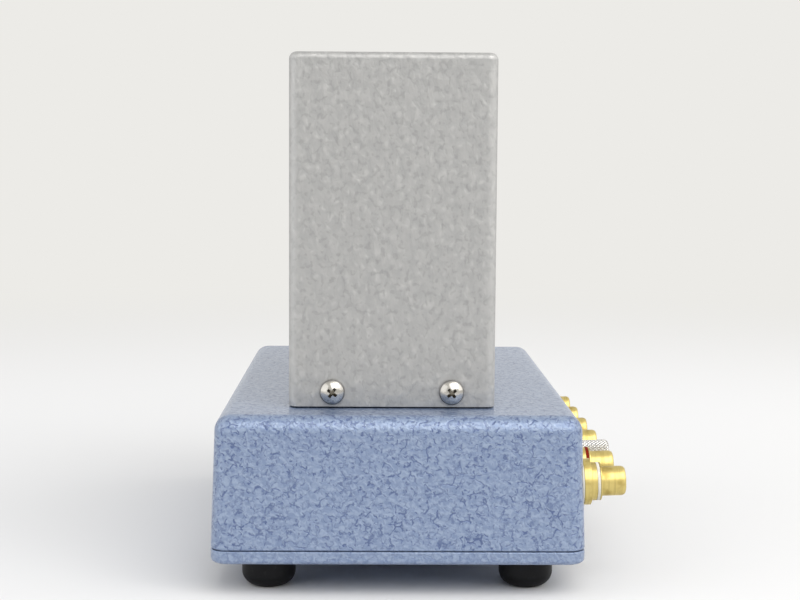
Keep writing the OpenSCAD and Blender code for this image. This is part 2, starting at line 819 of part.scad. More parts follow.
module common_leads() centred() color("DimGray")
    for (lead = COMMON_LEADS) wire(common_route(lead), lead_d);

module ground_bus_wire() centred() color("Silver")
    on_rear_wall(socket_y(0) - bus_overhang)
        translate([-bus_h, 0, bus_u])
            rotate([-90, 0, 0])
                cylinder(d = bus_d, h = socket_y(socket_count - 1) - socket_y(0) + 2 * bus_overhang);

module solder_tag(hole_d) {
    difference() {
        union() {
            cylinder(d = tag_d, h = tag_t);
            translate([-tag_reach, -tag_w / 2, 0]) cube([tag_reach, tag_w, tag_t]);
        }
        translate([0, 0, -cut]) cylinder(d = hole_d + 2 * fit_gap, h = tag_t + 2 * cut);
    }
}

module solder_tags() centred() color("Silver") {
    at_sockets() translate([0, 0, tag_u]) solder_tag(thread_d);
    on_rear_wall(ground_y) translate([0, 0, tag_u]) solder_tag(stud_d);
}

// Sockets

module socket_shell(i) centred() color("Gold") {
    c = shell_chamfer;
    r = barrel_d / 2 - barrel_round;
    mouth = [
        for (a = [0 : arc_step : 90])
            [r + barrel_round * cos(a), tip_u - barrel_nose_l * (1 - sin(a))]
    ];
    profile = concat(
        [
            [barrel_bore_d / 2, thread_end_u],
            [thread_d / 2, thread_end_u],
            [thread_d / 2, outer_washer_t],
            [flange_d / 2 - c, outer_washer_t],
            [flange_d / 2, outer_washer_t + c],
            [flange_d / 2, collar_u - c],
            [flange_d / 2 - c, collar_u],
            [collar_d / 2, collar_u],
            [collar_d / 2, ring_u],
            [ring_seat_d / 2, ring_u],
            [ring_seat_d / 2, rim_u],
            [collar_d / 2, rim_u],
            [collar_d / 2, barrel_u],
            [barrel_d / 2, barrel_u]
        ],
        mouth,
        [[barrel_bore_d / 2, tip_u]]
    );
    on_rear_wall(socket_y(i)) rotate_extrude() polygon(profile);
}

module rings(first, shade) centred() color(shade)
    for (i = [first : 2 : socket_count - 1])
        on_rear_wall(socket_y(i))
            translate([0, 0, ring_u])
                flat_ring(ring_seat_d + 2 * fit_gap, collar_d, ring_t);

module socket_insulators() centred() color("WhiteSmoke")
    at_sockets()
        translate([0, 0, insulator_back_u])
            flat_ring(contact_d + 2 * fit_gap, barrel_bore_d - 2 * fit_gap, face_u - insulator_back_u);

module socket_contacts() centred() color("Gold")
    at_sockets()
        difference() {
            union() {
                translate([0, 0, tail_end_u]) cylinder(d = tail_d, h = tail_l);
                translate([0, 0, insulator_back_u])
                    cylinder(d = contact_d, h = contact_mouth_u - insulator_back_u);
            }
            translate([0, 0, contact_mouth_u - pin_bore_l]) cylinder(d = pin_bore_d, h = pin_bore_l + cut);
        }

module socket_outer_washers() centred() color("WhiteSmoke")
    at_sockets()
        difference() {
            union() {
                cylinder(d = flange_d, h = outer_washer_t);
                translate([0, 0, -wall_n]) cylinder(d = washer_sleeve_d, h = wall_n + outer_washer_t);
            }
            translate([0, 0, -wall_n - cut])
                cylinder(d = thread_d + 2 * fit_gap, h = wall_n + outer_washer_t + 2 * cut);
        }

module socket_inner_washers() centred() color("WhiteSmoke")
    at_sockets()
        translate([0, 0, inner_washer_u]) flat_ring(thread_d + 2 * fit_gap, flange_d, inner_washer_t);

module socket_nuts() centred() color("Gold")
    at_sockets() translate([0, 0, socket_nut_u]) hex_nut(thread_d, socket_nut_af, socket_nut_t);

// Ground post

module ground_stud() centred() color("Silver")
    on_rear_wall(ground_y) {
        translate([0, 0, stud_end_u]) cylinder(d = stud_d, h = stud_tip_u - stud_end_u);
        cylinder(d = stud_collar_d, h = stud_collar_t);
    }

module ground_clamp_washer() centred() color("Silver")
    on_rear_wall(ground_y)
        translate([0, 0, clamp_washer_u])
            flat_ring(stud_d + 2 * fit_gap, clamp_washer_d, clamp_washer_t);

// Grip of small pyramids between two crossing sets of grooves, chamfered at both ends
module knurled_grip() {
    r = thumb_nut_d / 2;
    columns = 2 * knurl_count;
    band_l = thumb_nut_l - 2 * thumb_nut_chamfer;
    rows = round(band_l * knurl_count / (PI * r));
    levels = concat(
        [0],
        [for (j = [0 : rows]) thumb_nut_chamfer + band_l * j / rows],
        [thumb_nut_l]
    );
    last = len(levels) - 1;
    points = [
        for (j = [0 : last], c = [0 : columns - 1])
            let (
                a = c * 360 / columns,
                knurl_r = (c + j) % 2 == 0 ? r : r - knurl_depth,
                point_r = j == 0 || j == last ? thumb_nut_end_r : knurl_r
            )
                [point_r * cos(a), point_r * sin(a), levels[j]]
    ];
    sides = [
        for (j = [0 : last - 1], c = [0 : columns - 1])
            let (
                c1 = (c + 1) % columns,
                p00 = j * columns + c,
                p10 = j * columns + c1,
                p01 = p00 + columns,
                p11 = p10 + columns
            )
                each (c + j) % 2 == 0
                    ? [[p00, p01, p10], [p11, p10, p01]]
                    : [[p00, p11, p10], [p00, p01, p11]]
    ];
    bottom = [for (c = [0 : columns - 1]) c];
    top = [for (c = [columns - 1 : -1 : 0]) last * columns + c];
    polyhedron(points = points, faces = concat(sides, [bottom, top]));
}

module ground_thumb_nut() centred() color("Silver")
    on_rear_wall(ground_y)
        translate([0, 0, thumb_nut_u])
            difference() {
                knurled_grip();
                translate([0, 0, -cut]) cylinder(d = stud_d + 2 * fit_gap, h = thumb_nut_l + 2 * cut);
            }

module ground_lock_washer() centred() color("Silver")
    on_rear_wall(ground_y)
        translate([0, 0, inner_washer_u]) flat_ring(stud_d + 2 * fit_gap, clamp_washer_d, inner_washer_t);

module ground_stud_nut() centred() color("Silver")
    on_rear_wall(ground_y) translate([0, 0, stud_nut_u]) hex_nut(stud_d, stud_nut_af, stud_nut_t);

chassis_box();
base_plate();
base_plate_screws();
foot(-1, -1);  // near_front_foot
foot(1, -1);  // near_rear_foot
foot(-1, 1);  // far_front_foot
foot(1, 1);  // far_rear_foot
foot_screws();
foot_washers();
foot_nuts();
transformer_cover();
cover_screws();
cover_bracket(-1);  // near_cover_bracket
cover_bracket(1);  // far_cover_bracket
bracket_screws();
bracket_nuts();
shield_base(left);  // left_shield_base
shield_base(right);  // right_shield_base
shield_can(left);  // left_shield_can
shield_can(right);  // right_shield_can
core(left);  // left_core
core(right);  // right_core
bobbin(left);  // left_bobbin
bobbin(right);  // right_bobbin
primary_winding(left);  // left_primary_winding
primary_winding(right);  // right_primary_winding
secondary_winding(left);  // left_secondary_winding
secondary_winding(right);  // right_secondary_winding
felt_pad(left);  // left_felt_pad
felt_pad(right);  // right_felt_pad
transformer_screws();
transformer_nuts();
lead_bushings();
signal_leads(left, "WhiteSmoke");  // left_signal_leads
signal_leads(right, "FireBrick");  // right_signal_leads
common_leads();
ground_bus_wire();
socket_shell(0);  // socket_shell_1
socket_shell(1);  // socket_shell_2
socket_shell(2);  // socket_shell_3
socket_shell(3);  // socket_shell_4
socket_shell(4);  // socket_shell_5
socket_shell(5);  // socket_shell_6
rings(0, "White");  // white_rings
rings(1, "Red");  // red_rings
socket_insulators();
socket_contacts();
socket_outer_washers();
socket_inner_washers();
socket_nuts();
solder_tags();
ground_stud();
ground_clamp_washer();
ground_thumb_nut();
ground_lock_washer();
ground_stud_nut();
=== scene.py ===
"""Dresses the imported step-up transformer: hammertone paint, gilt sockets, nickel screws and rubber feet.

Lengths are in metres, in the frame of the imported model: +X at the socket wall, +Z up, floor at Z = 0.
"""

import json
import math

import bmesh
import bpy
from mathutils import Matrix, Vector


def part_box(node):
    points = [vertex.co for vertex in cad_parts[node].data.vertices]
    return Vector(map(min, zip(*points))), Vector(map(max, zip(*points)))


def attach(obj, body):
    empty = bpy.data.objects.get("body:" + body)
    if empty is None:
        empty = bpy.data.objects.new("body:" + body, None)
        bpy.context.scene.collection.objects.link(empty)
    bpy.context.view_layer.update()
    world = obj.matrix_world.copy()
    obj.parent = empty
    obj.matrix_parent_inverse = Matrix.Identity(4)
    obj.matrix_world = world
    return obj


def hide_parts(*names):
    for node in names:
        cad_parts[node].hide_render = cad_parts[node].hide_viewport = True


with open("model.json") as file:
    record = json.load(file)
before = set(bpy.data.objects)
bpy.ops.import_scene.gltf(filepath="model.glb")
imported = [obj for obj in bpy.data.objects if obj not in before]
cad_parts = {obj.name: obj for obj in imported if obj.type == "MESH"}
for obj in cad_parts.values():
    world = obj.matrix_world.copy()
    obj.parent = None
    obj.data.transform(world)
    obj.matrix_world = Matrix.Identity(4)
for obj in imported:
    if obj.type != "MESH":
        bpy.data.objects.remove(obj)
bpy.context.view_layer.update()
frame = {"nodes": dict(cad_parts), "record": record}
NODES = frame["nodes"]
MOUNTS = {mount["name"]: mount for mount in frame["record"]["mounts"]}
MM = 0.001
UP = Vector((0, 0, 1))

# Camera: its place, the way it looks and its lens in millimetres
CAMERA_PLACE = Vector((-14.11, -495.78, 120.73)) * MM
CAMERA_PITCH = math.radians(-5.417)
CAMERA_YAW = math.radians(0.982)
CAMERA_ROLL = math.radians(0.382)
CAMERA_LENS = 70.42

# Meshes: fineness, how far cutters reach past a face, and which material slot takes a face's painted shade
CORNER_STEPS = 16
EDGE_STEPS = 10
SOFT_STEPS = 4
TURN_STEPS = 96
HOLE_STEPS = 48
SHARP_ANGLE = math.radians(40)
CUT_SPARE = 1 * MM
SOFT_SHARE = 0.48
TINY = 1e-9
SHADE_SLOT = 1

# Box and base plate
BOX_LEAN = math.radians(1.87)
BOX_CORNER = 5 * MM
BOX_WALL = 2.2 * MM
DECK_ROUND = 4.5 * MM
PLATE_ROUND = 1.4 * MM
SEAM_ROUND = 0.35 * MM
SEAM_GAP = 0.3 * MM
SEAM_DEPTH = 1 * MM
BOSS_R = 4 * MM
BOSS_INSET = 5.9 * MM
BOSS_H = 32 * MM
BOSS_HOLE_R = 2.05 * MM
BOSS_HOLE_DEPTH = 12 * MM
RIB_H = 1.6 * MM
RIB_T = 2 * MM
RIB_INSET = 2.5 * MM
RIB_END_GAP = 0.3 * MM
SOCKET_HOLE_R = 5.2 * MM
STUD_HOLE_R = 2.05 * MM
PLATE_SCREW_R = 2.2 * MM
PLATE_SINK_R = 3.8 * MM
PLATE_SINK_DEPTH = 1.75 * MM
SMALL_SCREW_HOLE_R = 1.7 * MM
SMALL_SCREW_HEAD_R = 2.75 * MM
BUSHING_HOLE_R = 3.4 * MM
BUSHING_FLANGE_R = 4.75 * MM

# Feet
FOOT_ROUND = 4 * MM
FOOT_WELL_R = 3.05 * MM
FOOT_WELL_DEPTH = 5 * MM
FOOT_TOP_SOFT = 0.3 * MM

# Cover and its screws
COVER_CORNER = 2.8 * MM
COVER_WALL = 1.2 * MM
COVER_TOP_ROUND = 2 * MM
COVER_FOOT_SOFT = 0.15 * MM
COVER_SCREW_HOLE_R = 2.2 * MM
SCREW_R = 2 * MM
SCREW_HEAD_R = 3.5 * MM
SCREW_HEAD_H = 2.4 * MM
SCREW_EDGE_H = 0.7 * MM
SCREW_L = 8 * MM
SCREW_TURNS = (55, 39, 75, 28)
RIM_SLOPE = 0.7
RECESS_TOP = (3.3 * MM, 0.85 * MM)
RECESS_BOTTOM = (1.5 * MM, 0.6 * MM)
RECESS_DEPTH = 1.9 * MM
RECESS_SOFT = 0.2 * MM

# Sockets, as radii and as distances out from the wall along a socket's axis
WASHER_OUT = 1.2 * MM
FLANGE_OUT = 3.4 * MM
COLLAR_OUT = 5.05 * MM
RING_OUT = 5.85 * MM
RIM_OUT = 6.35 * MM
TIP_OUT = 13.2 * MM
THREAD_BACK = -6.9 * MM
FLANGE_R = 6.5 * MM
COLLAR_R = 5.35 * MM
RING_SEAT_R = 4.45 * MM
BARREL_R = 4.15 * MM
BARREL_BORE_R = 3.2 * MM
THREAD_R = 4.5 * MM
SHELL_SOFT = 0.22 * MM
NOSE_L = 1.4 * MM
NOSE_DEPTH = 0.8 * MM
RING_GAP = 0.05 * MM
RING_SOFT = 0.1 * MM
BARREL_MIDDLE = 9.075 * MM
GROUND_POST_OUT = 2.05 * MM

# Thumb nut of the ground post
NUT_L = 11.4 * MM
NUT_R = 4.25 * MM
NUT_BORE_R = 2.1 * MM
NUT_CHAMFER = 0.7 * MM
KNURL_DEPTH = 0.3 * MM
KNURL_STARTS = 26
KNURL_RISE = 1.15 * MM
KNURL_COLUMNS = 260
KNURL_ROWS = 90
# Knurl faces lower than this share of the diamond height take the darker nickel, a painted shade in the
# grooves
KNURL_SHADE_LEVEL = 0.22

# Blue paint: its colours, the creases where its cells meet, and its soft relief, with painted light and
# shade on the relief and painted shade beside the creases
BLUE_LIT = (0.286, 0.358, 0.5)
BLUE_RELIEF_SHADE = (0.2, 0.265, 0.411)
BLUE_SHADED = (0.11, 0.17, 0.33)
BLUE_CREASE = (0.02, 0.05, 0.18)
BLUE_WARP = {"size": 2.0 * MM, "reach": 2.3 * MM, "detail": 2.5}
BLUE_DRIFT = 6 * MM
BLUE_SWELL = 1.2 * MM
BLUE_BUMP = 0.22 * MM
BLUE_COAT_BUMP = 0.06 * MM
BLUE_CELL = 2.8 * MM
BLUE_DEPTH = 0.76
PLATE_CELL = 1.9 * MM
PLATE_DEPTH = 0.36
WIDE_CREASES = {"width": 0.42 * MM, "soft": 0.4 * MM, "patch": 1.5 * MM, "drop": 0.44}
FINE_CREASES = {"width": 0.3 * MM, "soft": 0.28 * MM, "patch": 1.3 * MM, "drop": 0.46}
# Painted shade: a broad band beside the creases, darker towards the side of each cell that SHADE_WAY points
# to
CREASE_SHADE_BANDS = {"width": 1.3 * MM, "soft": 1.3 * MM, "patch": 1.9 * MM, "drop": 0.36}
CREASE_TAPER = 0.16
FINE_SHARE = 0.5
FINE_STRENGTH = 0.6
SHADE_WAY = (0.4, 0.5, 0.77)
SHADE_STRENGTH = 0.26
# Painted light and shade on the soft relief: the colour goes from lit to shaded by how the swell changes
# along this shift
RELIEF_LIGHT_SHIFT = (0.18 * MM, 0.18 * MM, 0.38 * MM)
RELIEF_SIZE = 1.5 * MM
RELIEF_SLOPE = 0.16

# Silver paint: its colours, its dashes, and a painted sheen that makes the cover's upright edges paler
SILVER_DULL = (0.385, 0.385, 0.384)
SILVER_PALE = (0.43, 0.428, 0.424)
SILVER_SPOT = (0.54, 0.538, 0.53)
SILVER_DASH = (0.25, 0.25, 0.25)
SILVER_EDGE_SHEEN = (0.62, 0.617, 0.605)
SILVER_STRETCH = (1.0, 1.0, 0.7)
SILVER_WARP = {"size": 2.5 * MM, "reach": 2.4 * MM}
SILVER_SWELL = 2.4 * MM
SILVER_BUMP = 0.25 * MM
SILVER_COAT_BUMP = 0.12 * MM
SILVER_CELL = 2.2 * MM
SILVER_DASHES = {"width": 0.6 * MM, "soft": 0.6 * MM, "patch": 1.8 * MM, "drop": 0.46}
SPOT_STRENGTH = 0.42
DASH_STRENGTH = 0.34
SHEEN_REACH = 4 * MM
SHEEN_STRENGTH = 0.34

# Grain of the other finishes
PLATING_PATCH = 3.5 * MM
RING_STRETCH = (1.0, 0.02, 0.02)
METAL_CLOUD = 4 * MM
SCRATCH_SIZE = 0.25 * MM
SCRATCH_STRETCH = (1.0, 0.08, 0.3)
METAL_BUMP = 0.01 * MM
RUBBER_BLACK = (0.004, 0.004, 0.005)
RUBBER_DUST = (0.03, 0.029, 0.028)
RUBBER_GRAIN = 0.35 * MM
RUBBER_BUMP = 0.05 * MM
DUST_SIZE = 1.6 * MM
PLASTIC_CLOUD = 1.8 * MM
PLASTIC_GRAIN = 0.2 * MM
PLASTIC_BUMP = 0.02 * MM
LAYER_CLOUD = 3 * MM
LAYER_BUMP = 0.05 * MM
FELT_DARK = (0.05, 0.06, 0.035)
FELT_PALE = (0.16, 0.18, 0.11)
FELT_WARP = {"size": 0.8 * MM, "reach": 1.5 * MM}
FELT_FIBRE = 0.3 * MM
FELT_BUMP = 0.3 * MM

# Stage. The fades of the room are along X, Y and Z of the way that a ray goes
BACKDROP = (0.84, 0.83, 0.8)
ROOM_FRONT = (0.13, 0.125, 0.115)
ROOM_ABOVE = (0.78, 0.78, 0.77)
ROOM_LEFT = (0.48, 0.47, 0.45)
ROOM_LOW = (0.08, 0.08, 0.085)
LEFT_FADE = (-0.1, 0.15)
FRONT_FADE = (-0.7, 0.1)
ABOVE_FADE = (0.05, 0.6)
LOW_FADE = (0.0, 0.3)
FLOOR_AROUND = (0.22, 0.22, 0.22)
FLOOR_COLOUR = (0.76, 0.76, 0.77)
FLOOR_ROUGHNESS = 0.6
FLOOR_R = 4.0
FLOOR_FADE = (0.25, 0.9)
FLOOR_DROP = 0.05 * MM

# Lamps: name, place, width and height, watts, colour
LAMP_AIM = Vector((0.0, 0.0, 0.06))
LAMPS = (
    ("key", Vector((0.6, -1.15, 1.4)), (2.0, 1.6), 24.0, (1.0, 0.99, 0.96)),
    ("side", Vector((1.4, -0.2, 0.9)), (1.8, 1.4), 8.5, (1.0, 0.99, 0.97)),
    ("fill", Vector((-1.3, -0.5, 0.6)), (1.8, 1.4), 6.5, (0.97, 0.98, 1.0)),
)


# Nodes of materials

class Nodes:
    """Adds nodes to one tree and links them by the names of their sockets."""

    def __init__(self, tree):
        self.tree = tree

    def plug(self, socket, value):
        if isinstance(value, bpy.types.NodeSocket):
            self.tree.links.new(value, socket)
        else:
            socket.default_value = value

    def add(self, kind, inputs=None, **settings):
        node = self.tree.nodes.new(kind)
        for key, value in settings.items():
            setattr(node, key, value)
        for key, value in (inputs or {}).items():
            self.plug(node.inputs[key], value)
        return node

    def math(self, operation, first, second=0.0):
        node = self.add("ShaderNodeMath", {0: first, 1: second}, operation=operation)
        return node.outputs[0]

    def vectors(self, operation, first, second=(0.0, 0.0, 0.0)):
        """The vector that comes of two vectors."""
        node = self.add("ShaderNodeVectorMath", {0: first, 1: second}, operation=operation)
        return node.outputs["Vector"]

    def measure(self, operation, first, second=(0.0, 0.0, 0.0)):
        """The number that comes of two vectors."""
        node = self.add("ShaderNodeVectorMath", {0: first, 1: second}, operation=operation)
        return node.outputs["Value"]

    def step(self, value, low, high, start=0.0, end=1.0):
        """Goes smoothly from start to end while the value goes from low to high."""
        inputs = {"Value": value, "From Min": low, "From Max": high, "To Min": start, "To Max": end}
        node = self.add("ShaderNodeMapRange", inputs, interpolation_type="SMOOTHSTEP")
        return node.outputs["Result"]

    def place(self):
        return self.add("ShaderNodeTexCoord").outputs["Object"]

    def stretched(self, scale):
        node = self.add("ShaderNodeMapping", {"Vector": self.place(), "Scale": scale})
        return node.outputs["Vector"]

    def noise(self, place, size, detail=2.0):
        node = self.add("ShaderNodeTexNoise", {"Vector": place, "Scale": 1 / size, "Detail": detail})
        return node.outputs["Fac"]

    def warped(self, place, size, reach, detail=2.0):
        """A place pushed about by noise."""
        drift = self.add("ShaderNodeTexNoise", {"Vector": place, "Scale": 1 / size, "Detail": detail})
        centred = self.vectors("SUBTRACT", drift.outputs["Color"], (0.5, 0.5, 0.5))
        push = self.add("ShaderNodeVectorMath", {0: centred, "Scale": reach}, operation="SCALE")
        return self.vectors("ADD", place, push.outputs["Vector"])

    def cells(self, place, size, feature):
        node = self.add("ShaderNodeTexVoronoi", {"Vector": place, "Scale": 1 / size}, feature=feature)
        return node.outputs["Distance"]

    def cell_side(self, place, size, way):
        """Goes from 0 on one side of each cell to 1 on the side that the way points to."""
        cell = self.add("ShaderNodeTexVoronoi", {"Vector": place, "Scale": 1 / size}, feature="F1")
        offset = self.vectors("SUBTRACT", place, cell.outputs["Position"])
        along = self.measure("DOT_PRODUCT", offset, way)
        return self.step(along, -0.15 * size, 0.3 * size)

    def mix(self, factor, first, second):
        node = self.add("ShaderNodeMix", data_type="RGBA")
        self.plug(node.inputs[0], factor)
        self.plug(node.inputs[6], first)
        self.plug(node.inputs[7], second)
        return node.outputs[2]

    def bump(self, height, distance, strength=1.0):
        node = self.add("ShaderNodeBump", {"Height": height, "Distance": distance, "Strength": strength})
        return node.outputs["Normal"]


def opaque(colour):
    return (*colour, 1.0)


def new_material(name):
    """A material with its nodes and its shader."""
    material = bpy.data.materials.new(name)
    material.use_nodes = True
    return material, Nodes(material.node_tree), material.node_tree.nodes["Principled BSDF"]


def set_surface(nodes, shader, **values):
    for name, value in values.items():
        nodes.plug(shader.inputs[name.replace("_", " ").title().replace("Ior", "IOR")], value)


def creases(nodes, edge, cell, width, soft, patch, drop):
    """Tapering strokes where paint cells meet: 1 on a stroke, 0 away from it.

    A higher drop leaves fewer of them.
    """
    patches = nodes.noise(nodes.place(), patch, 1.0)
    reach = nodes.step(patches, drop, drop + CREASE_TAPER, 0.0, width / cell)
    return nodes.step(edge, reach, nodes.math("SUBTRACT", reach, soft / cell))


def blue_hammertone(name, cell, depth):
    """Glossy blue paint with a soft relief, whose cells meet in dark, broken creases, with painted shade
    beside them on one side of each cell and painted light and shade on the relief.
    """
    material, nodes, shader = new_material(name)
    place = nodes.warped(nodes.place(), **BLUE_WARP)
    edge = nodes.cells(place, cell, "DISTANCE_TO_EDGE")
    small_edge = nodes.cells(place, FINE_SHARE * cell, "DISTANCE_TO_EDGE")
    wide = creases(nodes, edge, cell, **WIDE_CREASES)
    fine = creases(nodes, small_edge, FINE_SHARE * cell, **FINE_CREASES)
    # Painted shade: a band beside the creases, darker towards the side of each cell that the shade way
    # points to
    shade_band = creases(nodes, edge, cell, **CREASE_SHADE_BANDS)
    side = nodes.cell_side(place, cell, SHADE_WAY)
    shade = nodes.math("MULTIPLY", nodes.math("MULTIPLY", shade_band, side), SHADE_STRENGTH * depth)
    crease = nodes.math("MAXIMUM", wide, nodes.math("MULTIPLY", fine, FINE_STRENGTH))
    drift = nodes.noise(nodes.place(), BLUE_DRIFT, 3.0)
    strength = nodes.step(drift, 0.65, 0.3, 0.75 * depth, 1.05 * depth)
    # Painted light and shade on the relief: lit where the swell falls along the shift, shaded where it
    # rises
    aside = nodes.noise(nodes.vectors("ADD", place, RELIEF_LIGHT_SHIFT), RELIEF_SIZE, 1.0)
    slope = nodes.math("SUBTRACT", aside, nodes.noise(place, RELIEF_SIZE, 1.0))
    away = nodes.step(slope, -RELIEF_SLOPE, RELIEF_SLOPE)
    pale = nodes.mix(away, opaque(BLUE_LIT), opaque(BLUE_RELIEF_SHADE))
    shaded = nodes.mix(shade, pale, opaque(BLUE_SHADED))
    colour = nodes.mix(nodes.math("MULTIPLY", crease, strength), shaded, opaque(BLUE_CREASE))
    swell = nodes.noise(place, BLUE_SWELL, 1.0)
    height = nodes.math("SUBTRACT", swell, nodes.math("MULTIPLY", crease, 0.3))
    set_surface(
        nodes, shader, base_color=colour, metallic=0.45, roughness=0.45,
        normal=nodes.bump(height, BLUE_BUMP),
        coat_weight=0.6, coat_roughness=0.12, coat_normal=nodes.bump(height, BLUE_COAT_BUMP),
    )
    return material


def upright_edge_sheen(nodes, node, reach, most):
    """Painted sheen on the upright edges: goes from 0 at the reach inside a node's upright edges to its
    most on them.
    """
    low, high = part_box(node)
    away = nodes.vectors("ABSOLUTE", nodes.vectors("SUBTRACT", nodes.place(), (low + high) / 2))
    inside = nodes.vectors("SUBTRACT", (high - low) / 2, away)
    parts = nodes.add("ShaderNodeSeparateXYZ", {0: inside}).outputs
    return nodes.step(nodes.math("MAXIMUM", parts["X"], parts["Y"]), reach, 0.0, 0.0, most)


def silver_hammertone():
    """Grey metallic paint with soft swells, pale spots, darker dashes and a painted sheen on its upright
    edges.
    """
    material, nodes, shader = new_material("silver_hammertone")
    place = nodes.warped(nodes.stretched(SILVER_STRETCH), **SILVER_WARP)
    edge = nodes.cells(place, SILVER_CELL, "DISTANCE_TO_EDGE")
    dimple = nodes.cells(place, SILVER_CELL, "SMOOTH_F1")
    dash = nodes.math("MULTIPLY", creases(nodes, edge, SILVER_CELL, **SILVER_DASHES), DASH_STRENGTH)
    spot = nodes.step(dimple, 0.36, 0.08, 0.0, SPOT_STRENGTH)
    swell = nodes.noise(place, SILVER_SWELL)
    tone = nodes.step(swell, 0.28, 0.72)
    ground = nodes.mix(tone, opaque(SILVER_DULL), opaque(SILVER_PALE))
    spotted = nodes.mix(spot, ground, opaque(SILVER_SPOT))
    dashed = nodes.mix(dash, spotted, opaque(SILVER_DASH))
    # Painted sheen: the cover's upright edges are painted paler, as if catching light
    edge_sheen = upright_edge_sheen(nodes, "transformer_cover", SHEEN_REACH, SHEEN_STRENGTH)
    colour = nodes.mix(edge_sheen, dashed, opaque(SILVER_EDGE_SHEEN))
    relief = nodes.math("SUBTRACT", swell, nodes.math("MULTIPLY", dimple, 0.6))
    set_surface(
        nodes, shader, base_color=colour, metallic=0.6, roughness=0.5,
        normal=nodes.bump(relief, SILVER_BUMP),
        coat_weight=0.25, coat_roughness=0.35, coat_normal=nodes.bump(relief, SILVER_COAT_BUMP),
    )
    return material


def turned_metal(name, pale, dull, roughness, ring_size):
    """Plated metal with faint turning rings across X and patches of duller plating."""
    material, nodes, shader = new_material(name)
    patches = nodes.step(nodes.noise(nodes.place(), PLATING_PATCH, 4.0), 0.45, 0.75)
    rings = nodes.noise(nodes.stretched(RING_STRETCH), ring_size, 3.0)
    dullness = nodes.math("MAXIMUM", patches, nodes.step(rings, 0.45, 0.7, 0.0, 0.6))
    colour = nodes.mix(dullness, opaque(pale), opaque(dull))
    normal = nodes.bump(rings, METAL_BUMP, 0.5)
    rough = nodes.step(dullness, 0.0, 1.0, roughness, roughness + 0.12)
    set_surface(nodes, shader, base_color=colour, metallic=1.0, roughness=rough, normal=normal)
    return material


def scratched_metal(name, pale, dull, roughness):
    """Plated or bare metal with cloudy tone and hair scratches."""
    material, nodes, shader = new_material(name)
    cloud = nodes.noise(nodes.place(), METAL_CLOUD, 4.0)
    colour = nodes.mix(cloud, opaque(pale), opaque(dull))
    scratch = nodes.noise(nodes.stretched(SCRATCH_STRETCH), SCRATCH_SIZE, 3.0)
    normal = nodes.bump(scratch, METAL_BUMP, 0.4)
    rough = nodes.step(cloud, 0.3, 0.7, roughness, roughness + 0.1)
    set_surface(nodes, shader, base_color=colour, metallic=1.0, roughness=rough, normal=normal)
    return material


def black_rubber():
    """Moulded rubber with a fine grain and a little dust."""
    material, nodes, shader = new_material("black_rubber")
    grain = nodes.noise(nodes.place(), RUBBER_GRAIN, 4.0)
    dust = nodes.step(nodes.noise(nodes.place(), DUST_SIZE, 5.0), 0.6, 0.8, 0.0, 0.35)
    colour = nodes.mix(dust, opaque(RUBBER_BLACK), opaque(RUBBER_DUST))
    set_surface(
        nodes, shader, base_color=colour, roughness=0.5, specular_ior_level=0.2,
        normal=nodes.bump(grain, RUBBER_BUMP, 0.5),
    )
    return material


def moulded_plastic(name, pale, deep, roughness, shine=0.5):
    """Plastic with a faint cloud in its colour and a fine surface."""
    material, nodes, shader = new_material(name)
    cloud = nodes.step(nodes.noise(nodes.place(), PLASTIC_CLOUD, 4.0), 0.3, 0.7)
    grain = nodes.noise(nodes.place(), PLASTIC_GRAIN, 3.0)
    colour = nodes.mix(cloud, opaque(pale), opaque(deep))
    set_surface(
        nodes, shader, base_color=colour, roughness=roughness, specular_ior_level=shine,
        normal=nodes.bump(grain, PLASTIC_BUMP, 0.4),
    )
    return material


def striped_metal(name, pale, deep, along, pitch, roughness, metallic):
    """Thin layers side by side: laminations or turns of wire."""
    material, nodes, shader = new_material(name)
    place = nodes.add("ShaderNodeSeparateXYZ", {0: nodes.place()}).outputs[along]
    wave = nodes.math("SINE", nodes.math("MULTIPLY", place, 2 * math.pi / pitch))
    layer = nodes.step(wave, -1.0, 1.0)
    cloud = nodes.noise(nodes.place(), LAYER_CLOUD, 3.0)
    colour = nodes.mix(nodes.math("MULTIPLY", layer, cloud), opaque(deep), opaque(pale))
    set_surface(
        nodes, shader, base_color=colour, metallic=metallic, roughness=roughness,
        normal=nodes.bump(layer, LAYER_BUMP),
    )
    return material


def felt():
    """Pressed wool with loose fibres."""
    material, nodes, shader = new_material("felt")
    fibre = nodes.noise(nodes.warped(nodes.place(), **FELT_WARP), FELT_FIBRE, 5.0)
    colour = nodes.mix(fibre, opaque(FELT_DARK), opaque(FELT_PALE))
    set_surface(
        nodes, shader, base_color=colour, roughness=0.95, sheen_weight=0.4,
        normal=nodes.bump(fibre, FELT_BUMP),
    )
    return material


